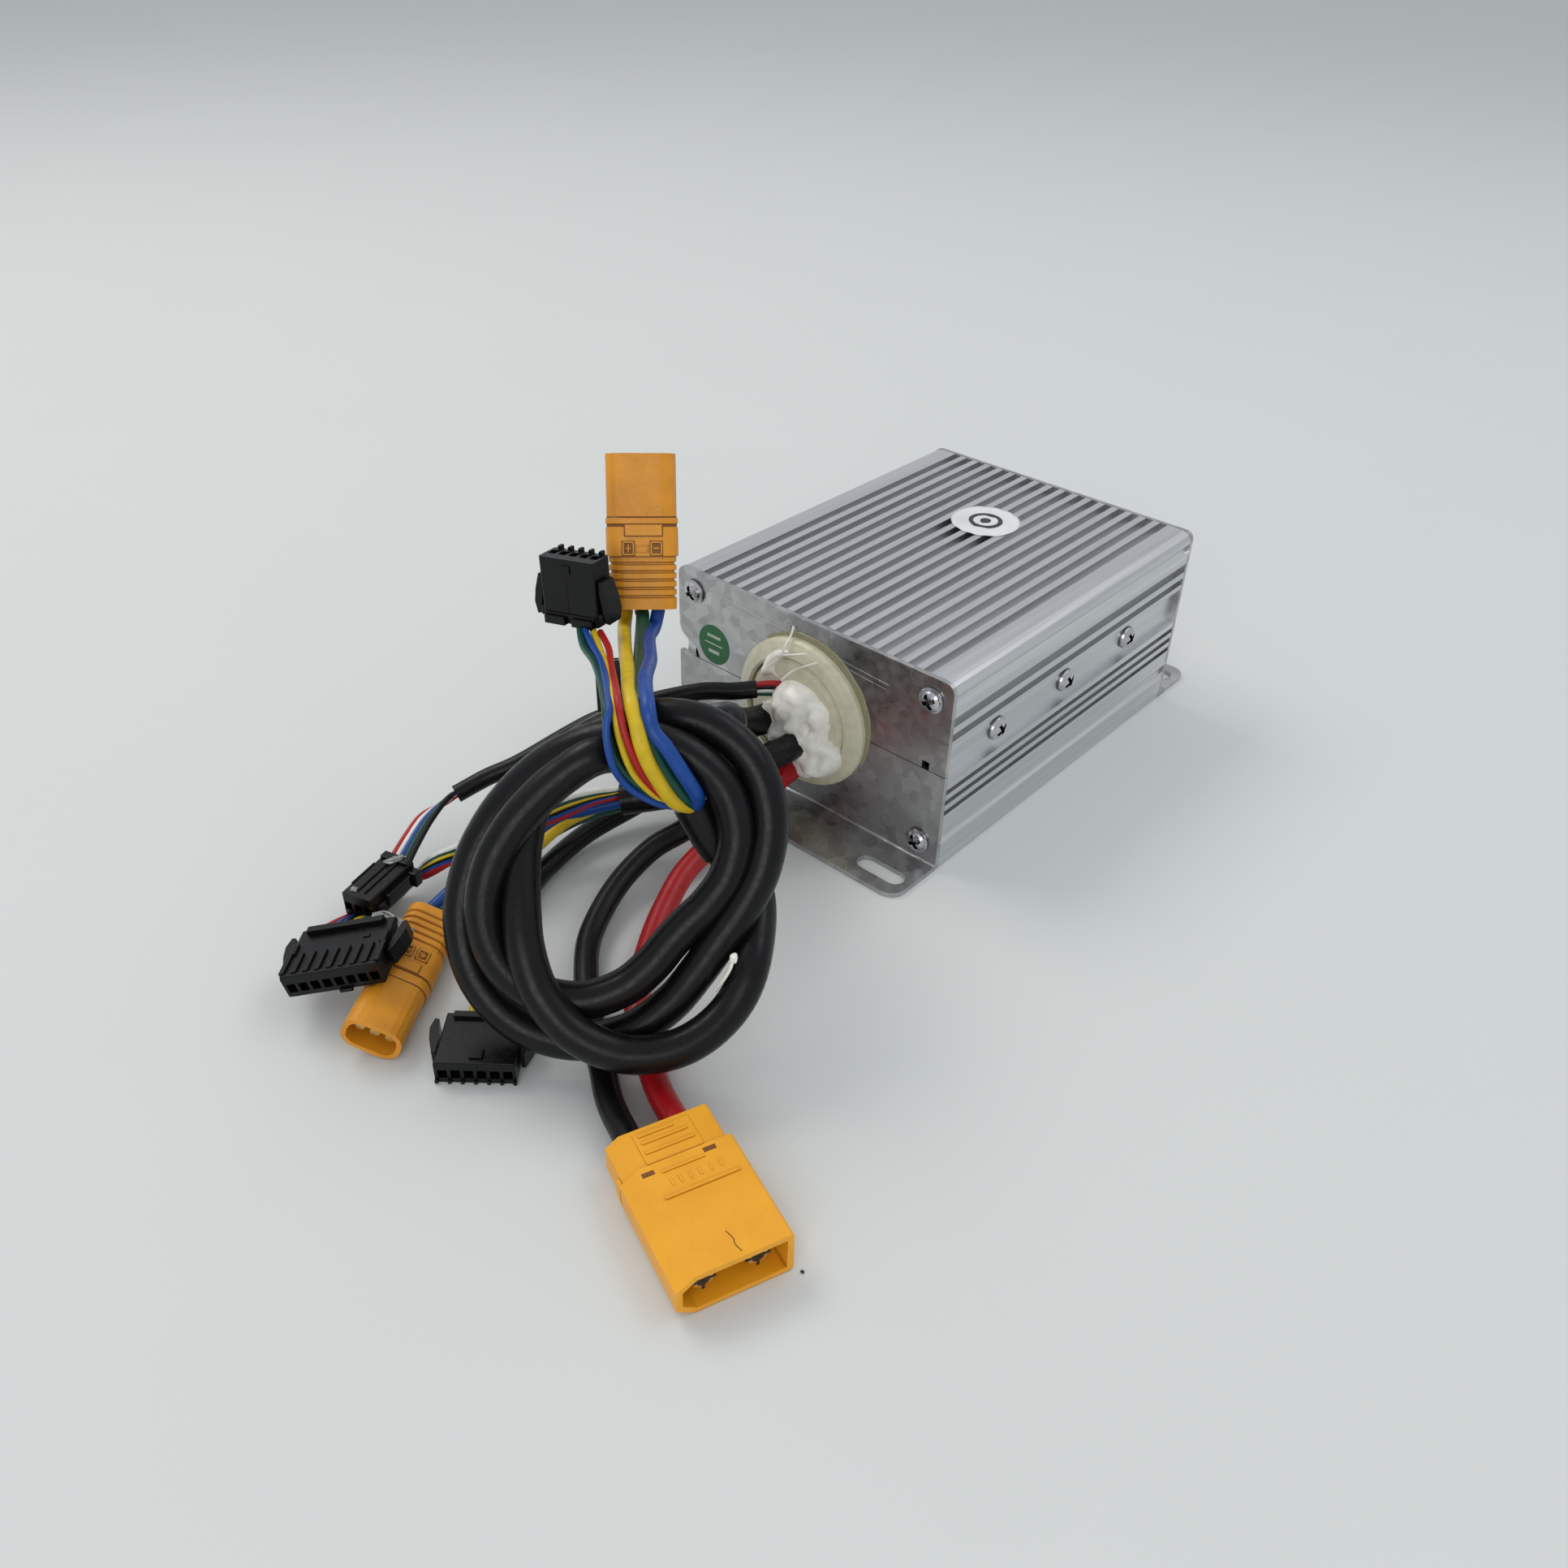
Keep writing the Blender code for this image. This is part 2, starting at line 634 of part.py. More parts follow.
COIL_CENTRE = (24.8, -133.5, 36.2)
COIL_ACROSS = (0.748, 0.664, 0.0)
COIL_FACING = (0.563, -0.634, 0.530)
COIL_RADIUS = 26.6

COIL = placed(COIL_CENTRE, COIL_ACROSS, COIL_FACING)
ring = []
for step in range(14):
    angle = 2 * math.pi * step / 14
    ring.append((COIL_RADIUS + 7.8 * math.cos(angle), 8.0 * math.sin(angle)))
turned("motor_cable_coil", ring, COIL, BLACK_RUBBER, 40, True)


def on_coil(across, up, out):
    """A point measured from the middle of the coil: across it, up its leaning plane, and out of its face."""
    return COIL @ Vector((across, up, out))


# ---------------------------------------------------------------- free cables and wires

cord(
    "motor_cable_lead_in",
    [(-6.5, -58.8, 23.5), (-7.0, -64, 24.5), (-5.0, -74, 30), (0, -86, 39), (8, -96, 45), (13.5, -101, 47.5)],
    MOTOR_CABLE, BLACK_RUBBER,
)
cord(
    "motor_cable_lead_out",
    [on_coil(14.0, 5.0, 0), on_coil(12.8, 5.7, 0), on_coil(11.2, 6.6, -0.5), on_coil(7.8, 8.4, -2.0)],
    MOTOR_CABLE, BLACK_RUBBER,
)
cord(
    "phase_wires_a",
    [
        (-15.2, -89.2, 56.4), (-12.4, -91.8, 55.2), (-7.6, -97.2, 57.0), (0.2, -104.8, 62.2), (8.8, -113.0, 68.0),
        on_coil(2.6, 41.5, 6.0), on_coil(3.4, 36.5, 13.4), on_coil(4.7, 28.5, 13.4), on_coil(6.8, 20.5, 10.8),
        on_coil(8.2, 15.5, 7.6), on_coil(8.0, 12.8, 5.0),
    ],
    6.2, PLUG_AMBER, 2,
)
cord(
    "hall_wires_a",
    [
        (-19.0, -103.8, 60.4), (-16.5, -106.4, 58.8), (-9.5, -110.8, 59.8), (0.5, -116.2, 63.4),
        on_coil(-3.4, 40.5, 4.0), on_coil(-3.2, 36.0, 10.8), on_coil(-2.2, 29.0, 11.0), on_coil(0.2, 20.4, 10.2),
        on_coil(1.7, 14.2, 4.8), on_coil(1.8, 10.8, -0.6),
    ],
    3.4, RED_SILICONE, 2,
)
cord(
    "battery_wire_black",
    [
        (-3.6, -58.2, 15.9), (-3.5, -66, 14), (-2, -80, 11), (-3.5, -90, 9), (-5.6, -98.5, 7), (-4, -110.6, 4.6),
        (2.1, -123.8, 2.9), (10.4, -132.6, 2.75), (20.7, -140.5, 2.75), (31.5, -147.4, 2.75), (40.2, -153.0, 3.2),
        (50.0, -157.3, 4.5),
    ],
    BATTERY_WIRE, BLACK_RUBBER,
)
cord(
    "battery_wire_red",
    [
        (2.2, -58.2, 13.5), (2.2, -66, 12), (3, -78.6, 9), (4.5, -96.2, 6.5), (8, -107, 4.2), (14, -118, 2.9),
        (24.3, -131.4, 2.75), (35.7, -139.4, 2.75), (44.6, -144.8, 3.4), (53.2, -148.5, 4.5),
    ],
    BATTERY_WIRE, RED_SILICONE,
)
cord(
    "second_motor_cable",
    [(4.2, -58.3, 22.0), (3.8, -65, 21.8), (0.5, -73.5, 20.5), (-4, -82, 18), (-10, -90, 16), (-16.5, -97, 14.8)],
    SECOND_CABLE, BLACK_RUBBER,
)
cord(
    "phase_wires_b",
    [
        (-18.4, -98.8, 12.8), (-21, -103.6, 12.8), (-23.6, -108.7, 11.8), (-25.5, -116.4, 10), (-26.4, -125.8, 8.5),
        (-26.2, -134.6, 6.8), (-24.6, -144.2, 5.5),
    ],
    5.6, PLUG_AMBER, 2,
)
cord(
    "signal_wires_c",
    [
        (-17.6, -98.6, 18.4), (-18.6, -104, 18.8), (-19.8, -111, 18.8), (-22.0, -119.5, 18.0), (-26.5, -127.2, 15.2),
        (-32.0, -131.6, 11.0), (-38.0, -134.8, 6.0), (-40.6, -140, 3.4), (-39.6, -147, 2.3), (-37, -151.5, 2.2),
        (-34.0, -155.5, 3.2), (-29.8, -159.4, 7.4), (-27.2, -161.2, 10.6),
    ],
    3.6, RED_SILICONE, 2,
)
cord(
    "display_cable",
    [
        (-4.8, -58.9, 32.5), (-10, -64.8, 32), (-16.7, -71, 32), (-24.2, -80, 30), (-30.8, -89.5, 27),
        (-34.6, -96.3, 24), (-39.7, -107.1, 19), (-43.5, -113.9, 16.5), (-46.4, -123, 13.6), (-44.5, -132, 10.8),
        (-39.4, -139.2, 9.2),
    ],
    DISPLAY_CABLE, BLACK_RUBBER,
)
cord(
    "signal_wires_e",
    [
        (-10.5, -58.2, 19), (-13, -66, 16.5), (-17.5, -76, 10.5), (-21.5, -88, 5.6), (-24.5, -101, 3.2),
        (-25.0, -113, 2.6), (-21, -126, 2.5), (-12, -139, 2.5), (-3.4, -148, 2.6), (2.0, -151.6, 2.7),
        (6.2, -154.4, 2.75),
    ],
    4.6, BLACK_RUBBER, 2,
)
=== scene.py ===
"""Looks of the speed controller: cables, wires, labels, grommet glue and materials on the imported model."""

import math

import bmesh
import bpy
from mathutils import Matrix, Vector, noise


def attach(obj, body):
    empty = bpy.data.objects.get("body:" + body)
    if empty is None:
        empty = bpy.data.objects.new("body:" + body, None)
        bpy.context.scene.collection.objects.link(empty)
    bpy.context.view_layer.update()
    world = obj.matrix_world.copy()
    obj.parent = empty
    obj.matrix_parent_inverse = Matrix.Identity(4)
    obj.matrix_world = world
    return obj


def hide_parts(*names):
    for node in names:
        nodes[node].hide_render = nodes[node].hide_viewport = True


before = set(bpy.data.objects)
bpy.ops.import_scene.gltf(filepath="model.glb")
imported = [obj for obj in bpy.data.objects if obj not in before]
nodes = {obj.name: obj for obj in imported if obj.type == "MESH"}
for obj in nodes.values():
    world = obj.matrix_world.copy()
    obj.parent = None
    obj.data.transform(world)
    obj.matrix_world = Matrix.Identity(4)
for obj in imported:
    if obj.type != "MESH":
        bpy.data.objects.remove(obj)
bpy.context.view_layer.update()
MM = 0.001
CORE = "controller"


# ---------------------------------------------------------------- small tools


def frame_at(origin, x_axis, z_axis):
    x = Vector(x_axis).normalized()
    z = Vector(z_axis)
    z = (z - x * z.dot(x)).normalized()
    matrix = Matrix((x, z.cross(x), z)).transposed().to_4x4()
    matrix.translation = Vector(origin)
    return matrix


def smooth_line(points, per_span=10):
    """A smooth line through the points, in millimetres."""
    knots = [Vector(p) for p in points]
    ends = [knots[0] * 2 - knots[1]] + knots + [knots[-1] * 2 - knots[-2]]
    line = []
    for i in range(1, len(ends) - 2):
        a, b, c, d = ends[i - 1 : i + 3]
        for step in range(per_span):
            t = step / per_span
            line.append(
                0.5 * (2 * b + (c - a) * t + (2 * a - 5 * b + 4 * c - d) * t * t + (3 * b - a - 3 * c + d) * t**3)
            )
    line.append(knots[-1])
    return line


def add_curve(name, line, radius, mat, sides=5):
    curve = bpy.data.curves.new(name, "CURVE")
    curve.dimensions = "3D"
    curve.bevel_depth = radius * MM
    curve.bevel_resolution = sides
    curve.use_fill_caps = True
    spline = curve.splines.new("POLY")
    spline.points.add(len(line) - 1)
    for spot, p in zip(spline.points, line):
        spot.co = (*(Vector(p) * MM), 1.0)
    spline.use_smooth = True
    obj = bpy.data.objects.new(name, curve)
    bpy.context.scene.collection.objects.link(obj)
    curve.materials.append(mat)
    return obj


def add_mesh(name, bm, mat, smooth=True, bevel=0.0, segments=2, body=CORE):
    bmesh.ops.recalc_face_normals(bm, faces=bm.faces)
    mesh = bpy.data.meshes.new(name)
    bm.to_mesh(mesh)
    bm.free()
    obj = bpy.data.objects.new(name, mesh)
    bpy.context.scene.collection.objects.link(obj)
    mesh.materials.append(mat)
    if bevel:
        round_edges(obj, bevel, segments)
    if smooth:
        mesh.shade_smooth()
    if body:
        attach(obj, body)
    return obj


def round_edges(obj, width, segments=2, angle=35):
    modifier = obj.modifiers.new("soft_edges", "BEVEL")
    modifier.width = width * MM
    modifier.segments = segments
    modifier.limit_method = "ANGLE"
    modifier.angle_limit = math.radians(angle)
    modifier.harden_normals = True
    modifier.use_clamp_overlap = True
    if obj.type == "MESH":
        for polygon in obj.data.polygons:
            polygon.use_smooth = True


def slab(bm, outline, low, high, place):
    """Adds a closed plate from an outline in place's X and Y between two heights."""
    bottom = [bm.verts.new((place @ Vector((u, v, low))) * MM) for u, v in outline]
    top = [bm.verts.new((place @ Vector((u, v, high))) * MM) for u, v in outline]
    count = len(outline)
    for i in range(count):
        j = (i + 1) % count
        bm.faces.new((bottom[i], bottom[j], top[j], top[i]))
    bm.faces.new(list(reversed(bottom)))
    bm.faces.new(top)


def box_on(bm, place, low, high):
    outline = [(low[0], low[1]), (high[0], low[1]), (high[0], high[1]), (low[0], high[1])]
    slab(bm, outline, low[2], high[2], place)


def oval(rx, ry, steps=48, centre=(0, 0)):
    turn = 2 * math.pi / steps
    return [(centre[0] + rx * math.cos(turn * i), centre[1] + ry * math.sin(turn * i)) for i in range(steps)]


# ---------------------------------------------------------------- camera, light and floor

camera_data = bpy.data.cameras.new("photo_view")
camera_data.sensor_width = 36.0
camera_data.lens = 31.04
camera_data.clip_start = 0.01
camera = bpy.data.objects.new("photo_view", camera_data)
bpy.context.scene.collection.objects.link(camera)
camera.location = (0.1730, -0.2613, 0.1987)
azimuth, elevation, roll = math.radians(130.59), math.radians(-35.69), math.radians(1.7)
ahead = Vector((math.cos(elevation) * math.cos(azimuth), math.cos(elevation) * math.sin(azimuth),
    math.sin(elevation)))
level = ahead.cross(Vector((0, 0, 1))).normalized()
upright = level.cross(ahead)
right = math.cos(roll) * level + math.sin(roll) * upright
above = math.cos(roll) * upright - math.sin(roll) * level
camera.rotation_euler = Matrix((right, above, -ahead)).transposed().to_euler()
bpy.context.scene.camera = camera


def area_light(name, spot, target, size, power, color=(1, 1, 1)):
    data = bpy.data.lights.new(name, "AREA")
    data.shape = "RECTANGLE"
    data.size, data.size_y = size
    data.energy = power
    data.color = color
    obj = bpy.data.objects.new(name, data)
    bpy.context.scene.collection.objects.link(obj)
    obj.location = spot
    obj.rotation_euler = (Vector(target) - Vector(spot)).to_track_quat("-Z", "Y").to_euler()


world = bpy.data.worlds.new("soft_room")
bpy.context.scene.world = world
world.use_nodes = True
world.node_tree.nodes["Background"].inputs["Color"].default_value = (0.93, 0.96, 1.0, 1.0)
world.node_tree.nodes["Background"].inputs["Strength"].default_value = 0.60
area_light("window", (-0.75, -0.15, 0.95), (0, -0.1, 0.02), (0.7, 0.5), 4.2, (1.0, 0.98, 0.95))
area_light("ceiling", (0.35, 0.55, 1.0), (0.0, -0.05, 0.02), (0.9, 0.5), 2.4, (0.96, 0.98, 1.0))
area_light("front_fill", (0.55, -0.95, 0.55), (0.02, -0.1, 0.03), (0.7, 0.5), 3.0)
bpy.context.scene.view_settings.view_transform = "Standard"


# ---------------------------------------------------------------- materials


class Look:
    """A Principled material built node by node."""

    def __init__(self, name, color, rough=0.5, metal=0.0, specular=0.5, coat=0.0, sheen=0.0):
        self.mat = bpy.data.materials.new(name)
        self.mat.use_nodes = True
        self.tree = self.mat.node_tree
        self.shader = self.tree.nodes["Principled BSDF"]
        self.color = color
        self.set("Base Color", (*color, 1.0))
        self.set("Roughness", rough)
        self.set("Metallic", metal)
        self.set("Specular IOR Level", specular)
        self.set("Coat Weight", coat)
        self.set("Sheen Weight", sheen)
        self.where = self.tree.nodes.new("ShaderNodeTexCoord").outputs["Object"]

    def set(self, name, value):
        self.shader.inputs[name].default_value = value

    def add(self, kind, **values):
        node = self.tree.nodes.new(kind)
        for key, value in values.items():
            if key in node.inputs:
                node.inputs[key].default_value = value
            else:
                setattr(node, key, value)
        return node

    def link(self, a, b):
        self.tree.links.new(a, b)

    def scaled(self, scale):
        node = self.add("ShaderNodeMapping")
        node.inputs["Scale"].default_value = scale
        self.link(self.where, node.inputs["Vector"])
        return node.outputs["Vector"]

    def noise(self, scale, detail=4.0, rough=0.55, vector=None):
        node = self.add("ShaderNodeTexNoise")
        node.inputs["Scale"].default_value = scale
        node.inputs["Detail"].default_value = detail
        node.inputs["Roughness"].default_value = rough
        self.link(vector or self.where, node.inputs["Vector"])
        return node.outputs["Fac"]

    def cells(self, scale, feature="F1", output="Color", vector=None):
        node = self.add("ShaderNodeTexVoronoi")
        node.feature = feature
        node.inputs["Scale"].default_value = scale
        self.link(vector or self.where, node.inputs["Vector"])
        return node.outputs[output]

    def ramp(self, source, stops):
        node = self.add("ShaderNodeValToRGB")
        elements = node.color_ramp.elements
        while len(elements) < len(stops):
            elements.new(0.5)
        for element, (position, value) in zip(elements, stops):
            element.position = position
            element.color = value if len(value) == 4 else (*value, 1.0)
        self.link(source, node.inputs["Fac"])
        return node.outputs["Color"]

    def grey(self, source, stops):
        return self.ramp(source, [(p, (v, v, v)) for p, v in stops])

    def mix(self, fac, a, b, blend="MIX"):
        node = self.add("ShaderNodeMix", data_type="RGBA", blend_type=blend)
        for socket, value in ((node.inputs[0], fac), (node.inputs[6], a), (node.inputs[7], b)):
            if isinstance(value, bpy.types.NodeSocket):
                self.link(value, socket)
            elif isinstance(value, tuple):
                socket.default_value = (*value, 1.0)[:4]
            else:
                socket.default_value = value
        return node.outputs[2]

    def math(self, operation, a, b=0.0):
        node = self.add("ShaderNodeMath", operation=operation)
        for socket, value in ((node.inputs[0], a), (node.inputs[1], b)):
            if isinstance(value, bpy.types.NodeSocket):
                self.link(value, socket)
            else:
                socket.default_value = value
        return node.outputs[0]

    def axis(self, name):
        node = self.add("ShaderNodeSeparateXYZ")
        self.link(self.where, node.inputs[0])
        return node.outputs[name]

    def paint(self, source):
        self.link(source, self.shader.inputs["Base Color"])

    def gloss(self, source):
        self.link(source, self.shader.inputs["Roughness"])

    def bump(self, source, distance, strength=0.5):
        node = self.add("ShaderNodeBump")
        node.inputs["Distance"].default_value = distance
        node.inputs["Strength"].default_value = strength
        self.link(source, node.inputs["Height"])
        before = self.shader.inputs["Normal"].links
        if before:
            self.link(before[0].from_socket, node.inputs["Normal"])
        self.link(node.outputs["Normal"], self.shader.inputs["Normal"])


def rubber(name, color, rough=0.46, scuff=0.5):
    look = Look(name, color, rough, specular=0.22)
    dust = look.noise(240, 6)
    tint = tuple(min(1.0, c * 1.6 + 0.008) for c in color)
    look.paint(look.mix(look.grey(dust, [(0.5, 0.0), (0.85, scuff)]), color, tint))
    look.gloss(look.grey(look.noise(900, 3), [(0.3, rough - 0.07), (0.7, rough + 0.1)]))
    look.bump(look.noise(1500, 3), 0.00005, 0.25)
    return look.mat


def insulation(name, color):
    look = Look(name, color, 0.36, specular=0.38)
    darker = tuple(c * 0.72 for c in color)
    look.paint(look.mix(look.grey(look.noise(320, 4), [(0.42, 0.0), (0.72, 0.65)]), color, darker))
    look.gloss(look.grey(look.noise(700, 2), [(0.3, 0.30), (0.7, 0.46)]))
    look.bump(look.noise(700, 2), 0.00008, 0.25)
    return look.mat


def moulded(name, color, deep, rough=0.42, dirt_and_shade=0.6):
    """Coloured connector plastic with dark specks, soft stains, a fine moulded grain and painted shade in its
    crevices.
    """
    look = Look(name, color, rough, specular=0.45)
    look.set("Subsurface Weight", 0.06)
    look.set("Subsurface Radius", (0.002, 0.001, 0.0004))
    tone = look.mix(look.grey(look.noise(110, 5), [(0.35, 0.0), (0.75, 1.0)]), color, deep)
    specks = look.grey(look.cells(650, output="Distance"), [(0.05, 1.0), (0.13, 0.0)])
    few = look.grey(look.noise(150, 4), [(0.50, 0.0), (0.62, 1.0)])
    mask = look.math("MULTIPLY", look.math("MULTIPLY", specks, few), dirt_and_shade)
    dirty = look.mix(mask, tone, (0.10, 0.05, 0.012))
    # Painted shade: ambient occlusion darkens the colour in crevices and where parts meet.
    corner = look.add("ShaderNodeAmbientOcclusion", samples=6, Distance=0.0009)
    recess_shade = look.grey(corner.outputs["AO"], [(0.35, 0.75), (0.85, 0.0)])
    look.paint(look.mix(recess_shade, dirty, tuple(c * 0.22 for c in deep)))
    look.gloss(look.grey(look.noise(1300, 3), [(0.3, rough - 0.06), (0.7, rough + 0.12)]))
    look.bump(look.noise(2200, 3), 0.00004, 0.3)
    return look.mat


RUBBER = rubber("cable_jacket", (0.0045, 0.0045, 0.005), 0.30, 0.35)
SLEEVE = rubber("shrink_sleeve", (0.005, 0.005, 0.0055), 0.28, 0.25)
BLACK_WIRE = rubber("black_wire", (0.007, 0.007, 0.0075), 0.34, 0.3)
YELLOW_WIRE = insulation("yellow_wire", (0.66, 0.46, 0.012))
GREEN_WIRE = insulation("green_wire", (0.004, 0.060, 0.040))
BLUE_WIRE = insulation("blue_wire", (0.005, 0.06, 0.30))
RED_WIRE = insulation("red_wire", (0.40, 0.006, 0.010))
WHITE_WIRE = insulation("white_wire", (0.78, 0.77, 0.72))
AMBER = moulded("amber_plastic", (0.76, 0.31, 0.014), (0.58, 0.22, 0.010))
YELLOW = moulded("yellow_plastic", (0.90, 0.41, 0.016), (0.80, 0.34, 0.012), 0.38, 0.25)
WIRES = {
    "yellow": YELLOW_WIRE, "green": GREEN_WIRE, "blue": BLUE_WIRE, "red": RED_WIRE, "black": BLACK_WIRE,
    "white": WHITE_WIRE,
}


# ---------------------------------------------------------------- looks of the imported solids


def aluminium():
    look = Look("satin_aluminium", (0.62, 0.63, 0.64), 0.34, 1.0)
    drawn = look.scaled((1.0, 0.02, 1.0))
    look.paint(look.mix(look.grey(look.noise(500, 4, vector=drawn), [(0.3, 0.0), (0.7, 1.0)]),
        (0.70, 0.71, 0.72), (0.57, 0.58, 0.59)))
    look.gloss(look.grey(look.noise(900, 3, vector=drawn), [(0.3, 0.28), (0.7, 0.44)]))
    look.bump(look.noise(1400, 2, vector=drawn), 0.00004, 0.25)
    return look.mat


def galvanised():
    look = Look("galvanised_sheet", (0.5, 0.51, 0.51), 0.35, 1.0)
    flakes = look.cells(330)
    grey = look.grey(flakes, [(0.0, 0.40), (1.0, 0.62)])
    cloud = look.grey(look.noise(60, 5), [(0.35, 0.0), (0.7, 1.0)])
    tone = look.mix(cloud, grey, (0.40, 0.41, 0.41), "MULTIPLY")
    look.paint(look.mix(0.35, grey, tone))
    look.gloss(look.grey(look.noise(420, 4), [(0.3, 0.24), (0.7, 0.42)]))
    look.bump(look.noise(260, 3), 0.00012, 0.3)
    return look.mat


def plain(name, color, rough, metal=0.0, scale=900, step=0.00005, coat=0.0, specular=0.5, recess_shade=0.0):
    """A plain material with faint tone changes; its last argument sets how much painted shade darkens the inside
    of small recesses.
    """
    look = Look(name, color, rough, metal, specular, coat=coat)
    darker = tuple(c * 0.8 for c in color)
    tone = look.mix(look.grey(look.noise(scale * 0.3, 4), [(0.4, 0.0), (0.75, 1.0)]), color, darker)
    if recess_shade:
        # Painted shade: ambient occlusion darkens the colour inside small recesses.
        corner = look.add("ShaderNodeAmbientOcclusion", samples=6, Distance=0.0012)
        dark = look.grey(corner.outputs["AO"], [(0.45, recess_shade), (0.9, 0.0)])
        tone = look.mix(dark, tone, tuple(c * 0.05 for c in color))
    look.paint(tone)
    look.gloss(look.grey(look.noise(scale, 3), [(0.3, max(0.05, rough - 0.06)), (0.7, rough + 0.08)]))
    look.bump(look.noise(scale, 3), step, 0.3)
    return look.mat


ALUMINIUM = aluminium()
GALVANISED = galvanised()
# The screws get painted shade inside their recesses.
ZINC = plain("zinc_screw", (0.56, 0.57, 0.59), 0.20, 1.0, recess_shade=1.0)
IVORY = plain("ivory_nylon", (0.66, 0.63, 0.47), 0.34)
SILICONE = plain("white_sealant", (0.92, 0.90, 0.82), 0.34, step=0.0001, coat=0.15)
NYLON = plain("black_nylon", (0.0035, 0.0035, 0.004), 0.30, specular=0.26)
GOLD = plain("gold_plate", (0.80, 0.58, 0.22), 0.20, 1.0)
BOARD = plain("solder_mask", (0.02, 0.14, 0.06), 0.4)
EPOXY = plain("moulded_epoxy", (0.03, 0.03, 0.03), 0.5)
CLEAR = Look("clear_glue", (0.86, 0.88, 0.86), 0.12)
CLEAR.set("Transmission Weight", 0.75)
CLEAR.set("IOR", 1.46)
CLEAR.bump(CLEAR.noise(600, 3), 0.0003, 0.5)
CLEAR = CLEAR.mat
GLUE = plain("olive_glue", (0.30, 0.29, 0.17), 0.25, scale=500, step=0.0002, coat=0.2)
GREEN_LABEL = plain("green_label", (0.010, 0.135, 0.040), 0.42, scale=300)
PALE_INK = plain("pale_ink", (0.50, 0.60, 0.48), 0.5)
PAPER = plain("white_paper", (0.80, 0.81, 0.81), 0.5, scale=220, step=0.00008)
INK = plain("dark_ink", (0.03, 0.03, 0.032), 0.5)
RECESS = plain("amber_shadow", (0.20, 0.065, 0.006), 0.6)
# Painted shade with caked dirt: dark rims at the foot of raised marks.
DIRT_AND_SHADE = plain("dirt_and_edge_shade", (0.26, 0.095, 0.008), 0.6)
SHADOW = plain("dark_recess", (0.02, 0.012, 0.006), 0.6)
GLOSSY = plain("glossy_black", (0.005, 0.005, 0.006), 0.15, specular=0.35)

for name, node in nodes.items():
    if name in ("case_extrusion", "heat_bar"):
        mat = ALUMINIUM
    elif "plate" in name:
        mat = GALVANISED
    elif "screw" in name:
        mat = ZINC
    elif name == "cable_grommet":
        mat = IVORY
    elif name == "grommet_sealant":
        mat = IVORY
    elif "pin" in name:
        mat = GOLD
    elif name.startswith("battery_plug"):
        mat = YELLOW
    elif name.startswith("motor_plug"):
        mat = AMBER
    elif name == "circuit_board":
        mat = BOARD
    elif name.startswith(("mosfet", "bulk")):
        mat = EPOXY
    elif "plug" in name:
        mat = NYLON
    else:
        mat = RUBBER
    for holder in node.material_slots:
        holder.material = mat
    if not node.material_slots:
        node.data.materials.append(mat)

for name, width in (
    ("front_plate_upper", 0.25), ("front_plate_lower", 0.25), ("rear_plate", 0.25),
    ("battery_plug_shell", 0.5),
    ("battery_plug_cover", 0.8), ("motor_plug_a_shell", 0.3), ("motor_plug_b_shell", 0.3),
    ("hall_plug_housing", 0.2), ("signal_plug_c_housing", 0.2), ("signal_plug_e_housing", 0.2),
    ("display_plug_housing", 0.25),
):
    round_edges(nodes[name], width, 2, 40)


# ---------------------------------------------------------------- free cables and wires


def free_cord(name, route, diameter, mat, stands_for=(),
    spans=8):
    line = smooth_line(route, spans)
    obj = add_curve(name, line, diameter / 2, mat, 6 if diameter > 4 else 4)
    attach(obj, CORE)
    if stands_for:
        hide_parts(*stands_for)
    return obj


COIL = frame_at((24.8, -133.5, 36.2), (0.748, 0.664, 0.0), (0.563, -0.634, 0.530))


def on_coil(across, up, out):
    return COIL @ Vector((across, up, out))


# The cable leaves the case, winds three loose turns and ends in a sleeve inside them.
# Each turn is an oval in the coil's plane: its mean radius, how far it is pushed off the middle and which way,
# how far it is stretched and along which direction, its height above the plane, and how far it leans out
# and towards which side. Angles are in degrees.
LOOSE_TURNS = [
    (22, 4, 138, 4, 48, 2.4, 2, 165),
    (29, 3, 150, 5, 55, -2.2, 2.5, 350),
    (24, 4, 305, 4, 108, 0, 7.5, 245),
]
# The angles at which one turn passes on to the next, and how far before and after them the change reaches.
PASSES_ON = (-610, -255)
PASSING = 60
FIRST_ANGLE, LAST_ANGLE, ANGLE_STEP = -980, -30, 19


def point_of_turn(turn, angle):
    """The reach and height, at this angle, of one oval turn."""
    radius, push, pushed_to, stretch, along, height, lean, leans_to = turn
    reach = radius + push * math.cos(math.radians(angle - pushed_to))
    reach += stretch * math.cos(2 * math.radians(angle - along))
    return Vector((reach, height + lean * math.cos(math.radians(angle - leans_to))))


def coil_turns():
    """The turns one after another, each passing smoothly on to the next."""
    points = []
    for angle in range(FIRST_ANGLE, LAST_ANGLE + 1, ANGLE_STEP):
        place = point_of_turn(LOOSE_TURNS[0], angle)
        for middle, turn in zip(PASSES_ON, LOOSE_TURNS[1:]):
            share = min(1, max(0, (angle - middle + PASSING) / (2 * PASSING)))
            place = place.lerp(point_of_turn(turn, angle), share * share * (3 - 2 * share))
        reach, height = place
        points.append(on_coil(reach * math.cos(math.radians(angle)), reach * math.sin(math.radians(angle)),
            height))
    return points


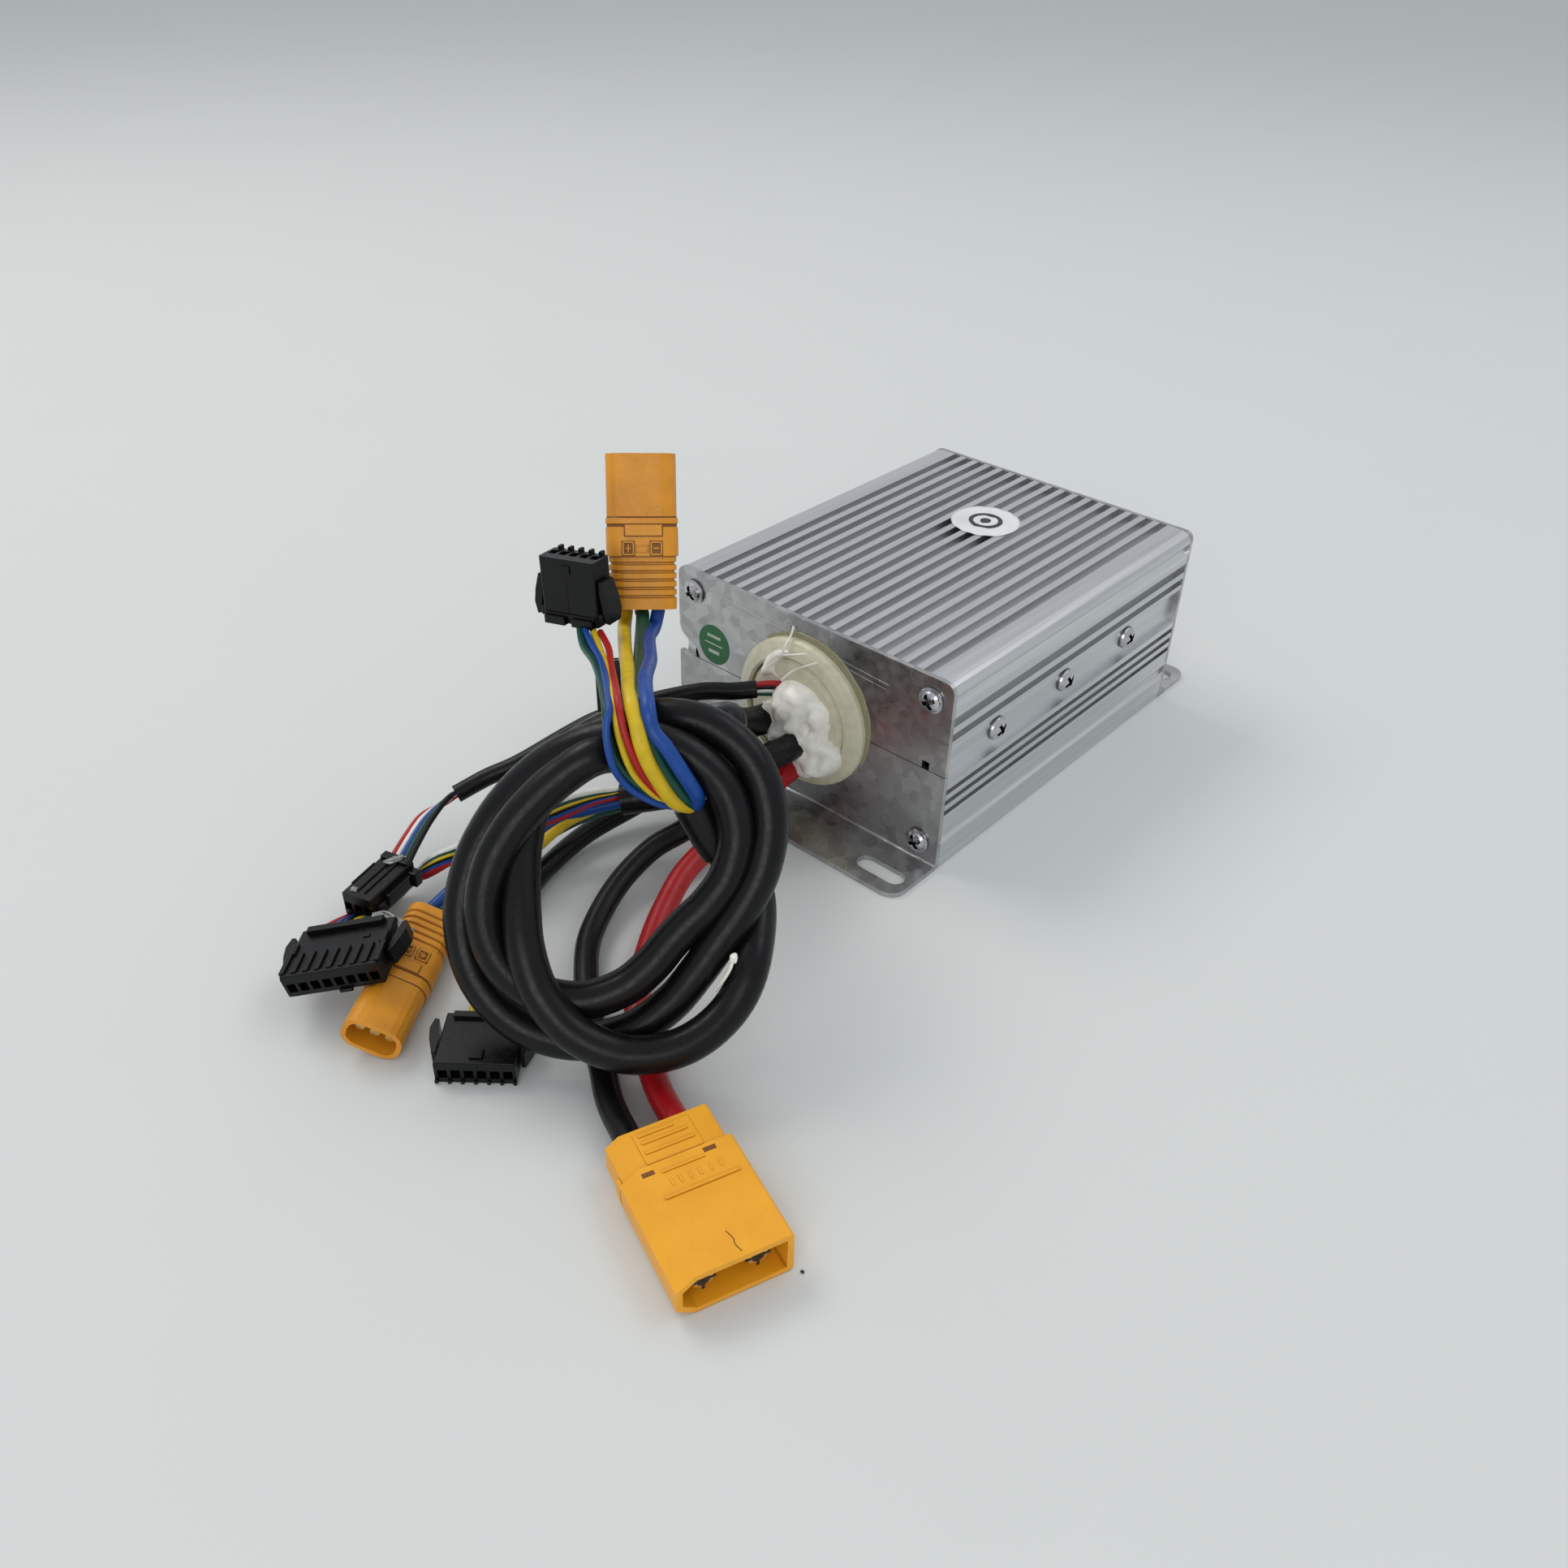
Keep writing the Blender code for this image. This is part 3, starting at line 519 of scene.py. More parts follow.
lead_in = [(-6.5, -58.0, 23.5), (-7.0, -64, 24.5), (-5.0, -74, 30), (-0.5, -86, 38)]
lead_in += [on_coil(18.8, 30.1, -11), on_coil(10.0, 26.1, -9), on_coil(4.2, 23.6, -4.5)]
lead_out = [on_coil(24.5, -2.1, -8.0), on_coil(17.2, 7.0, -5), on_coil(12.6, 15.0, -3)]
motor_route = [Vector(p) for p in lead_in + coil_turns() + lead_out]
sleeve_line = smooth_line(motor_route[-3:], 8)[7:]
sleeve_a = add_curve("cable_sleeve_a", sleeve_line, 4.1, SLEEVE, 6)
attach(sleeve_a, CORE)
motor_cable = free_cord(
    "motor_cable", motor_route, 7.3, RUBBER,
    ("motor_cable_lead_in", "motor_cable_coil", "motor_cable_lead_out"),
)

TO_PLUG_A = {
    "yellow": [(-17, -93.0, 57.5), (-6.5, -102.4, 60.4), (6.5, -113.5, 65.5), (18.5, -124, 69.5),
    (22.5, -126.5, 67.5), (25, -127.5, 63.5),
               (26.5, -126.5, 58.5), (28.5, -123.5, 51.5)],
    "green": [(-15, -89.5, 59.5), (-5.5, -99, 60), (6.5, -110.5, 64), (18.5, -121.5, 69), (22.5, -124.2, 66),
    (24.8, -125, 62.5),
              (27, -124, 57.5), (29, -121.5, 51.5)],
    "blue": [(-12.6, -88.5, 57.6), (-7.6, -94.8, 59.6), (2.5, -104, 62.5), (14.5, -116.5, 68.5),
    (22.5, -123.5, 69.5), (25, -124.8, 66),
             (27.5, -124, 63), (30, -122.5, 58), (31, -120, 52)],
}
PLUG_A_AT = {"yellow": (-20.4, -89.2, 59.0), "green": (-16.8, -88.2, 60.0), "blue": (-14.4, -85.4, 60.0)}
for hue, route in TO_PLUG_A.items():
    full = [PLUG_A_AT[hue], *route, (29.0, -118.5, 47.6)]
    first = hue == "yellow"
    free_cord(
        f"phase_wire_a_{hue}", full[::-1], 2.9, WIRES[hue],
        ("phase_wires_a",) if first else (),
    )
TO_HALL = {
    "green": [(-18.5, -104, 62.5), (-10.5, -110, 63), (-1.5, -115, 65), (9, -122.5, 68),
    (16.5, -128.2, 68.5), (19, -130.2, 65),
              (21, -130.5, 60.5), (23, -128.5, 56), (26, -124.5, 51)],
    "blue": [(-16.5, -104.5, 62.5), (-7.5, -110, 64), (0, -114.5, 65.5), (10.5, -122.5, 68.8),
    (18, -128.5, 69.5), (19.5, -130.8, 66.5),
             (21, -131.8, 62.5), (22, -131.2, 58.5), (23.5, -128.8, 54), (26.5, -125, 50.5)],
    "yellow": [(-14.5, -103.8, 62.5), (-4.5, -110.5, 64), (5.5, -117.5, 66.5), (15, -125, 69.5),
    (19, -128, 68.8), (21, -129.2, 65),
               (23, -129, 59.5), (24.5, -127.5, 55.5), (26.5, -124, 50.5)],
    "red": [(-12.5, -103.5, 62.5), (-4.5, -108.5, 64), (3.5, -115, 66), (15.5, -124.5, 70),
    (19.5, -127.6, 69.8), (21.8, -128.8, 66.5),
            (24, -129, 62.5), (25.5, -127.5, 57), (27.5, -124, 51.5)],
    "black": [(-19.5, -102.5, 62.3), (-12, -108, 62.5), (-2.5, -113.5, 64), (8.5, -121, 67),
    (15.8, -127, 67.5), (18.6, -129, 64),
              (20.8, -129, 59.5), (23, -127, 55), (25.8, -123.5, 50.5)],
}
for hue, route in TO_HALL.items():
    first = hue == "green"
    free_cord(
        f"hall_wire_{hue}", [*route, (28.0, -119.8, 47.8)][::-1], 1.4, WIRES[hue],
        ("hall_wires_a",) if first else (),
    )

battery_black = [
    (-3.6, -57.6, 15.9), (-3.5, -66, 14), (-2, -80, 11), (-3.5, -90, 9), (-5.6, -98.5, 7), (-4, -110.6, 4.6),
    (2.1, -123.8, 2.9),
    (10.4, -132.6, 2.75), (20.7, -140.5, 2.75), (31.5, -147.4, 2.75), (40.2, -153.0, 3.2),
    (50.6, -157.6, 4.5),
]
battery_red = [
    (2.2, -57.6, 13.5), (2.2, -66, 12), (3, -78.6, 9), (4.5, -96.2, 6.5), (8, -107, 4.2), (14, -118, 2.9),
    (24.3, -131.4, 2.75),
    (35.7, -139.4, 2.75), (44.6, -144.8, 3.4), (53.8, -148.8, 4.5),
]
free_cord(
    "battery_lead_black", battery_black, 5.3, RUBBER, ("battery_wire_black",),
)
free_cord("battery_lead_red", battery_red, 5.3, RED_WIRE, ("battery_wire_red",))

second = [(4.2, -57.6, 22.0), (3.8, -65, 21.8), (0.5, -73.5, 20.5), (-4, -82, 18), (-10, -90, 16),
    (-16.5, -97, 14.8)]
sleeve_b = add_curve("cable_sleeve_b", smooth_line(second[-2:], 6), 3.7, SLEEVE, 6)
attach(sleeve_b, CORE)
free_cord("second_motor_cable_run", second, 6.6, RUBBER, ("second_motor_cable",))

PLUG_B_AT = {"yellow": (-21.5, -147.3, 5.6), "green": (-23.8, -145.9, 5.4), "blue": (-26.2, -144.6, 5.6)}
TO_PLUG_B = {
    "blue": [(-16.0, -97.4, 14.6), (-19.5, -103, 14), (-22.5, -109, 13), (-24.5, -117, 11), (-26, -126, 9.2),
    (-27, -135, 7.6)],
    "yellow": [(-16.6, -97.2, 14.0), (-20.4, -103.4, 13), (-22.0, -110, 12), (-22.5, -118, 9.5),
    (-22.6, -127, 7.6), (-22.0, -137, 6.4)],
    "green": [(-16.4, -97.6, 13.4), (-20.8, -103.8, 11.8), (-23.6, -110, 10), (-25.6, -118, 7.8),
    (-25.6, -127, 6.2), (-24.4, -137, 5.4)],
}
for hue, route in TO_PLUG_B.items():
    first = hue == "blue"
    free_cord(
        f"phase_wire_b_{hue}", [*route, PLUG_B_AT[hue]], 2.8, WIRES[hue],
        ("phase_wires_b",) if first else (),
    )

PLUG_C = frame_at((-17.0, -173.2, 11.4), (0.639, -0.769, 0.022), (-0.204, -0.142, 0.969))
TO_PLUG_C = ("red", "blue", "black", "yellow", "green", "white")
for i, hue in enumerate(TO_PLUG_C):
    spread = i - 2.5
    entry = PLUG_C @ Vector((-13.0, spread * 2.5 - 2.5, 0.4))
    before = PLUG_C @ Vector((-17.5, spread * 2.0 - 1.5, 0.2))
    route = [
        (-16.0 - 0.2 * i, -97.2, 16.2 + 0.2 * i),
        (-18.4, -103.6 + 0.3 * spread, 18.0 + 0.5 * spread),
        (-20.0 - 0.1 * spread, -111.5 + 0.2 * spread, 18.4 + 0.8 * spread),
        (-23.0 + 0.2 * spread, -120.5 - 0.2 * spread, 17.2 + 0.9 * spread),
        (-27.6 + 0.3 * spread, -128.2, 14.4 + 0.9 * spread),
        (-33.0 + 0.2 * spread, -132.2 + 0.3 * spread, 10.2 + 0.8 * spread),
        (-38.2 - 0.4 * spread, -136.2 + 0.4 * spread, 5.6 + 0.3 * spread),
        (-39.8 + 0.7 * spread, -143.5, 3.0),
        (-37.4 + 1.0 * spread, -151.5, 2.6),
        before,
        entry,
    ]
    first = i == 0
    free_cord(
        f"signal_wire_c_{hue}", route, 1.6, WIRES[hue], ("signal_wires_c",) if first else (),
    )

display = [
    (-7.5, -61.5, 32.4), (-11.5, -65.8, 32), (-16.7, -71, 32), (-24.2, -80, 30), (-30.8, -89.5, 27),
    (-34.6, -96.3, 24),
    (-39.7, -107.1, 19), (-43.5, -113.9, 16.5), (-46.0, -121, 14.2),
]
for i, hue in enumerate(("red", "black", "white", "green")):
    stub = add_curve(
        f"display_stub_{hue}",
        smooth_line([(-8.5, -62.4, 33.4 - 0.7 * i), (-5.5, -59.6, 34.0 - 0.9 * i),
        (-2.8 - 0.3 * i, -56.6, 33.6 - 1.1 * i)], 6),
        0.72, WIRES[hue], 3,
    )
    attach(stub, CORE)
free_cord("display_cable_run", display, 4.2, RUBBER, ("display_cable",))
for i, hue in enumerate(("red", "white", "blue", "green", "black")):
    spread = i - 2
    route = [
        (-45.2, -119.0, 14.9), (-46.6 + 0.1 * spread, -123.5 + 0.3 * spread, 13.4 + 0.3 * spread),
        (-46.2 + 0.7 * spread, -129.5 + 0.2 * spread, 12.0), (-43.4 + 1.1 * spread, -135.8, 10.6),
        (-39.2 + 1.1 * spread, -142.8 + 0.3 * spread, 9.6),
    ]
    route.insert(0, (-43.4, -113.6, 16.6))
    free_cord(
        f"display_wire_{hue}", route, 1.35, WIRES[hue], (),
    )

sheath_e = [
    (-10.5, -57.6, 19), (-13, -66, 16.5), (-17.5, -76, 10.5), (-21.5, -88, 6.0), (-23.8, -101, 4.0),
    (-22.6, -113, 3.0),
    (-19.4, -122.5, 2.8),
]
for i, hue in enumerate(("yellow", "white", "red")):
    route = [
        (-19.4, -122.4, 2.8), (-16.5 + 0.9 * i, -128.5, 2.0 + 0.3 * i), (-10.5 + 1.2 * i, -137.6, 1.5),
        (-4.8 + 1.5 * i, -145.4, 2.0),
        (-1.6 + 1.8 * i, -150.0 + 0.6 * i, 3.6), (1.2 + 2.0 * i, -154.0 + 1.2 * i, 3.8),
        (4.0 + 1.8 * i, -157.0 + 1.5 * i, 3.4),
    ]
    wire = add_curve(f"signal_wire_e_{hue}", smooth_line(route, 8), 0.75, WIRES[hue], 4)
    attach(wire, CORE)
free_cord(
    "signal_cable_e", [*sheath_e, (-10.5, -138.6, 2.8), (-3.4, -147.8, 2.8)], 4.8, RUBBER,
    ("signal_wires_e",),
)


# ---------------------------------------------------------------- labels, glue and sealant on the case


def smooth_blob(name, outline, level, height, mat, facing, cell=0.8, roll=1.9, seed=0.0):
    """A poured lump: the outline in facing's X and Y, rising to a rounded, uneven top."""
    corners = [Vector(p) for p in outline]
    sides = list(zip(corners, corners[1:] + corners[:1]))

    def nearest(p):
        best = None
        for a, b in sides:
            t = max(0.0, min(1.0, (p - a).dot(b - a) / max((b - a).length_squared, 1e-9)))
            q = a.lerp(b, t)
            if best is None or (q - p).length < (best - p).length:
                best = q
        return best

    def inside(p):
        hit = False
        for a, b in sides:
            if (a.y > p.y) != (b.y > p.y) and p.x < (b.x - a.x) * (p.y - a.y) / (b.y - a.y) + a.x:
                hit = not hit
        return hit

    low_x, high_x = min(p.x for p in corners), max(p.x for p in corners)
    low_y, high_y = min(p.y for p in corners), max(p.y for p in corners)
    bm = bmesh.new()
    made = {}

    def corner(i, j):
        if (i, j) not in made:
            p = Vector((low_x + i * cell, low_y + j * cell))
            rim = nearest(p)
            deep = (rim - p).length if inside(p) else 0.0
            if deep == 0.0:
                p = rim
            wave = noise.noise(Vector((p.x * 0.22, p.y * 0.22,
                seed))) + 0.45 * noise.noise(Vector((p.x * 0.6, p.y * 0.6, seed + 4)))
            rise = height * (1 - math.exp(-deep / roll)) * (1 + 0.55 * wave)
            made[(i, j)] = bm.verts.new((facing @ Vector((p.x, p.y, level + rise))) * MM)
        return made[(i, j)]

    across, up = int((high_x - low_x) / cell) + 2, int((high_y - low_y) / cell) + 2
    for i in range(across):
        for j in range(up):
            if inside(Vector((low_x + (i + 0.5) * cell, low_y + (j + 0.5) * cell))):
                bm.faces.new((corner(i, j), corner(i + 1, j), corner(i + 1, j + 1), corner(i, j + 1)))
    skirt = bmesh.ops.extrude_edge_only(bm, edges=[e for e in bm.edges if e.is_boundary])
    inward = (facing.to_3x3() @ Vector((0, 0, -1.2))) * MM
    bmesh.ops.translate(bm, vec=inward, verts=[v for v in skirt["geom"] if isinstance(v, bmesh.types.BMVert)])
    bmesh.ops.smooth_vert(bm, verts=bm.verts[:], factor=0.4, use_axis_x=True, use_axis_y=True,
        use_axis_z=True)
    obj = add_mesh(name, bm, mat)
    return obj


def plate(name, place, outline, low, high, mat, bevel=0.12):
    bm = bmesh.new()
    slab(bm, outline, low, high, place)
    return add_mesh(name, bm, mat, bevel=bevel)


def blocks(name, place, boxes, mat, bevel=0.12):
    """Several small raised blocks as one piece; each is (low corner, high corner)."""
    bm = bmesh.new()
    for low, high in boxes:
        box_on(bm, place, low, high)
    return add_mesh(name, bm, mat, bevel=bevel)


def thread(name, points, radius, mat, sides=3):
    obj = add_curve(name, smooth_line(points, 6), radius, mat, sides)
    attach(obj, CORE)
    return obj


def rect(x0, y0, x1, y1):
    return [(x0, y0), (x1, y0), (x1, y1), (x0, y1)]


FRONT = frame_at((0, -53.0, 0), (1, 0, 0), (0, -1, 0))

smooth_blob(
    "sealant_pour",
    [
        (-5.6, 33.0), (-4.0, 34.5), (-0.6, 36.0), (2.2, 36.2), (5.6, 35.6), (8.4, 33.8), (10.7, 31.7),
        (11.4, 28.0), (10.9, 24.6),
        (13.4, 23.4), (14.9, 21.0), (14.5, 17.8), (12.2, 14.4), (9.5, 13.0), (6.0, 12.9), (3.0, 13.6),
        (0.2, 13.8), (-2.0, 16.6),
        (-4.4, 18.4), (-6.6, 20.2), (-7.6, 23.2), (-6.4, 26.8), (-5.2, 29.4),
    ],
    3.6, 5.4, SILICONE, FRONT, roll=1.7, seed=2.0,
)
smooth_blob(
    "sealant_hook",
    [
        (-4.0, 33.4), (-7.0, 34.2), (-10.2, 32.2), (-10.6, 35.1), (-9.4, 38.7), (-6.3, 41.4), (-2.9, 42.6),
        (-1.9, 41.9), (-4.6, 39.5),
        (-6.2, 36.9), (-5.6, 36.0), (-2.6, 35.6),
    ],
    3.0, 2.6, SILICONE, FRONT, cell=0.6, roll=1.2, seed=7.0,
)
thread("sealant_string_top", [(-3.4, -57.6, 41.8), (-3.1, -56.6, 44.0), (-3.3, -54.6, 45.6),
    (-3.6, -53.4, 47.4)], 0.28, SILICONE)
thread("sealant_string_upper", [(-3.6, -57.6, 41.4), (0.0, -57.5, 43.0), (3.4, -56.6, 44.2)], 0.22, SILICONE)
thread("sealant_string_left", [(-7.3, -57.6, 36.9), (-5.9, -58.2, 38.4), (-4.3, -58.2, 40.3)], 0.2, SILICONE)
thread("sealant_string_right", [(-1.9, -59.2, 36.2), (0.6, -58.0, 39.2), (3.6, -57.5, 41.4),
    (6.6, -56.6, 43.2)], 0.24, SILICONE)

rim = []
for step in range(41):
    angle = math.radians(-22 + 150 * step / 40)
    grow = 0.6 + 1.5 * math.sin(math.pi * step / 40) * (0.8 + 0.5 * noise.noise(Vector((step * 0.31, 3.3,
        0))))
    rim.append(((19.0 + grow) * math.cos(angle), 25.9 + (19.0 + grow) * math.sin(angle)))
for step in range(40, -1, -1):
    angle = math.radians(-22 + 150 * step / 40)
    rim.append((18.4 * math.cos(angle), 25.9 + 18.4 * math.sin(angle)))
plate("glue_under_flange", FRONT, rim, -0.3, 0.35, GLUE, 0.3)
smooth_blob("glue_drip", oval(1.0, 1.7, 16, (-5.4, 46.0)), 0.0, 0.7, CLEAR, FRONT, cell=0.4, roll=0.5)

plate("pass_label", FRONT, oval(5.1, 5.3, 48, (-29.4, 32.0)), -0.05, 0.10, GREEN_LABEL, 0.03)
bm = bmesh.new()
for x0, y0, x1, y1 in ((-31.6, 33.9, -27.2, 34.7), (-32.4, 32.0, -26.5, 32.35), (-31.2, 29.6, -27.6, 30.5)):
    slab(bm, rect(x0, y0, x1, y1), 0.05, 0.14, FRONT)
add_mesh("pass_label_marks", bm, PALE_INK, smooth=False)

ROOF = frame_at((-1.4, 19.8, 49.9), (1, 0, 0), (0, 0, 1))
bm = bmesh.new()
rings = [[bm.verts.new((ROOF @ Vector((0, 0, 0.16))) * MM)]]
for ring in range(1, 10):
    row = []
    for step in range(72):
        angle = 2 * math.pi * step / 72
        x, y = ring * math.cos(angle), ring * math.sin(angle)
        sag = 0.16 + 0.10 * math.cos((x - 1.4) * 2 * math.pi / 4.0) + 0.07 * noise.noise(Vector((x * 0.5,
            y * 0.5, 1)))
        row.append(bm.verts.new((ROOF @ Vector((x, y, sag))) * MM))
    rings.append(row)
for step in range(72):
    after = (step + 1) % 72
    bm.faces.new((rings[0][0], rings[1][step], rings[1][after]))
    for inner, outer in zip(rings[1:], rings[2:]):
        bm.faces.new((inner[step], outer[step], outer[after], inner[after]))
sticker = add_mesh("round_label", bm, PAPER)
thick = sticker.modifiers.new("paper", "SOLIDIFY")
thick.thickness = 0.09 * MM
thick.offset = 1.0
bm = bmesh.new()
count = 40
for start, stop in ((0, 180), (180, 360)):
    angles = [math.radians(start + (stop - start) * step / count) for step in range(count + 1)]
    loop = [(4.4 * math.cos(angle), 4.4 * math.sin(angle)) for angle in angles]
    loop += [(3.3 * math.cos(angle), 3.3 * math.sin(angle)) for angle in reversed(angles)]
    slab(bm, loop, 0.2, 0.42, ROOF)
dot = [(1.4 * math.cos(math.tau * step / 16), 1.4 * math.sin(math.tau * step / 16)) for step in range(16)]
slab(bm, dot, 0.2, 0.42, ROOF)
add_mesh("round_label_mark", bm, INK, smooth=False)

SLOPE = frame_at((-25.7, -53.0, 46.3), (49.8, 0, -3.3), (0, -1, 0))
blocks("pressed_line", SLOPE, [((0, -0.15, -0.1), (49.9, 0.15, 0.16)),
    ((0.6, -1.5, -0.1), (49.2, -1.25, 0.14))], GALVANISED, 0.08)

# ---------------------------------------------------------------- connector details

BATTERY = frame_at((83.1, -164.7, 0.1), (0.936, -0.352, 0), (0, 0, 1))
blocks("battery_plug_raised_lines", BATTERY, [
    ((-21.3, -3.8, 9.5), (-20.8, 4.3, 9.85)), ((-16.1, -5.5, 9.5), (-15.5, 8.5, 9.9)),
    ((-19.3, -3.2, 9.5), (-17.6, -2.7, 9.75)), ((-19.3, -1.6, 9.5), (-17.6, -1.1, 9.75)),
    ((-19.3, 0.2, 9.5), (-17.6, 0.7, 9.75)),
    ((-19.3, 2.0, 9.5), (-17.6, 2.5, 9.75)), ((-19.3, 4.0, 9.5), (-17.6, 4.5, 9.75)),
    ((-19.3, 5.9, 9.5), (-17.6, 6.4, 9.75)),
], YELLOW, 0.1)
# Painted shade: the two windows are dark plates on the surface, not holes.
blocks("battery_plug_windows", BATTERY, [((-22.6, 4.5, 9.4), (-21.6, 6.9, 9.63)),
    ((-22.2, -7.2, 9.4), (-21.2, -4.9, 9.63))], RECESS, 0.02)
blocks("battery_cover_ribs", BATTERY, [
    ((-31.2, -5.2, 8.4), (-24.0, 5.6, 8.95)), ((-30.6, -4.4, 8.6), (-30.0, 2.4, 9.25)),
    ((-28.9, -4.4, 8.6), (-28.3, 4.4, 9.25)),
    ((-26.7, -4.6, 8.6), (-26.1, 4.8, 9.25)),
], YELLOW, 0.18)
blocks("battery_plug_lugs", BATTERY, [((-25.6, -10.7, 2.2), (-22.6, -9.6, 6.6)),
    ((-25.2, 9.7, 1.6), (-22.8, 11.2, 7.4))], YELLOW, 0.4)
# Painted shade: dark plates stand for the slits and hollow inside each pin.
for side, y in (("1", -5.0), ("2", 5.0)):
    tip = BATTERY @ Matrix.Translation((-1.9, y, 4.8))
    blocks(f"battery_pin_slits_{side}", tip,
        [((-0.6, -2.3, -0.28), (0.06, 2.3, 0.28)), ((-0.6, -0.28, -2.3), (0.06, 0.28, 2.3))], SHADOW, 0.05)
    bm = bmesh.new()
    slab(bm, oval(1.2, 1.2, 24), -0.3, 0.05, tip @ frame_at((0, 0, 0), (0, 1, 0), (1, 0, 0)))
    add_mesh(f"battery_pin_hollow_{side}", bm, SHADOW, smooth=False)
thread("battery_plug_scratch", [tuple(BATTERY @ Vector(p)) for p in ((-5.6, 0.8, 9.6), (-3.8, 1.3, 9.6),
    (-2.6, 1.1, 9.6), (-1.0, 1.5, 9.6))], 0.09, RECESS)

MOTOR_A = frame_at((-26.1, -78.1, 89.3), (-0.300, 0.302, 0.905), (0.666, -0.611, 0.425))
MOTOR_B = frame_at((-4.0, -174.5, 5.2), (0.558, -0.830, 0.0), (0.337, 0.228, 0.914))
ALONG = Matrix(((0, 0, 1, 0), (1, 0, 0, 0), (0, 1, 0, 0), (0, 0, 0, 1)))


def rounded(width, height, radius, steps=4):
    points = []
    for quarter in range(4):
        sx = 1 if quarter in (0, 3) else -1
        sy = 1 if quarter in (0, 1) else -1
        for step in range(steps + 1):
            angle = math.radians(90 * quarter + 90 * step / steps)
            points.append((sx * (width / 2 - radius) + radius * math.cos(angle),
                sy * (height / 2 - radius) + radius * math.sin(angle)))
    return points


def motor_plug_details(letter, place, width, height, flat, collars, row):
    """Bands between the grooves round the shell, a blank label and the polarity marks on one wide face."""
    # Painted shade: a dark band fills the grooves between the collars.
    plate(f"motor_plug_{letter}_grooves", place @ ALONG, rounded(width + 0.06, height + 0.06, 3.3, 6),
        collars[-1][0], collars[0][1] + 0.35, RECESS, 0)
    for number, (start, stop) in enumerate(collars):
        plate(f"motor_plug_{letter}_band_{number + 1}", place @ ALONG,
            rounded(width + 0.5, height + 0.5, 3.5, 6), start, stop, AMBER, 0.16)
    z = height / 2 + 0.2
    boxes = [((row + 1.4, -flat, z), (row + 3.6, flat - 0.6, z + 0.38))]
    for y0, y1 in ((flat - 2.4, flat), (-flat, -flat + 2.4)):
        boxes += [
            ((row - 2.6, y0, z), (row - 2.3, y1, z + 0.38)), ((row - 0.1, y0, z), (row + 0.2, y1, z + 0.38)),
            ((row - 2.6, y0, z), (row + 0.2, y0 + 0.3, z + 0.38)),
            ((row - 2.6, y1 - 0.3, z), (row + 0.2, y1, z + 0.38)),
            ((row - 1.35, y0 + 0.6, z), (row - 1.05, y1 - 0.6, z + 0.38)),
        ]
    # Dark rims a little larger than the label and marks, just under them: painted shade at their foot, with caked
    # dirt.
    shade = [((row + 1.15, -flat - 0.25, z - 0.1), (row + 3.85, flat - 0.35, z + 0.06))]
    for y0, y1 in ((flat - 2.4, flat), (-flat, -flat + 2.4)):
        shade.append(((row - 2.8, y0 - 0.2, z - 0.1), (row + 0.4, y1 + 0.2, z + 0.06)))
    blocks(f"motor_plug_{letter}_grime", place, shade, DIRT_AND_SHADE, 0.02)
    middle = flat - 1.2
    boxes.append(((row - 2.0, middle - 0.15, z), (row - 0.4, middle + 0.15, z + 0.38)))
    blocks(f"motor_plug_{letter}_marks", place, boxes, AMBER, 0.08)
    blocks(f"motor_plug_{letter}_slot_rim", place, [
        ((row - 2.0, -1.3, z), (row - 1.75, 1.4, z + 0.2)),
        ((row - 0.75, -1.3, z), (row - 0.5, 1.4, z + 0.2)),
        ((row - 2.0, -1.3, z), (row - 0.5, -1.05, z + 0.2)),
        ((row - 2.0, 1.15, z), (row - 0.5, 1.4, z + 0.2)),
    ], AMBER, 0.06)
    # Painted shade: a dark plate fills the inside of the slot rim.
    blocks(f"motor_plug_{letter}_slot", place,
        [((row - 1.75, -1.05, z - 0.1), (row - 0.75, 1.15, z + 0.04))], RECESS, 0.02)


motor_plug_details("a", MOTOR_A, 14.6, 9.2, 4.1, [(-14.3, -13.1), (-20.95, -14.9)], -18.1)
motor_plug_details("b", MOTOR_B, 12.0, 7.9, 2.9, [(-15.4, -13.4), (-23.15, -16.0)], -19.6)

HALL = frame_at((-21.3, -101.9, 76.1), (-0.119, 0.062, 0.991), (0.249, -0.964, 0.090))
PLUG_E = frame_at((15.4, -165.1, 2.75), (0.652, -0.756, 0.0), (0, 0, 1))
PLUG_D = frame_at((-33.9, -156.3, 9.4), (0.30, -0.954, 0.0), (0, 0, 1))
blocks("hall_plug_flange", HALL, [
    ((-13.9, -5.7, 2.6), (-12.2, -0.7, 4.0)), ((-13.9, 1.0, 2.6), (-12.2, 5.9, 4.0)),
    ((-12.4, -6.0, 2.4), (-11.6, 6.2, 3.3)),
    ((-3.0, -0.9, 2.8), (-1.3, 1.2, 3.25)), ((-12.0, 0.2, 2.8), (-1.2, 0.35, 3.02)),
], NYLON, 0.15)
blocks("hall_plug_teeth", HALL, [((-0.4, y - 0.35, -3.6), (0.7, y + 0.35, -2.2)) for y in (-5.0, -2.5, 0.0,
    2.5, 5.0)], NYLON, 0.1)
blocks("hall_plug_cheeks", HALL, [((-12.9, -7.6, -2.6), (-10.8, -6.3, 2.6)),
    ((-12.9, 6.3, -2.6), (-10.8, 7.6, 2.6))], NYLON, 0.3)

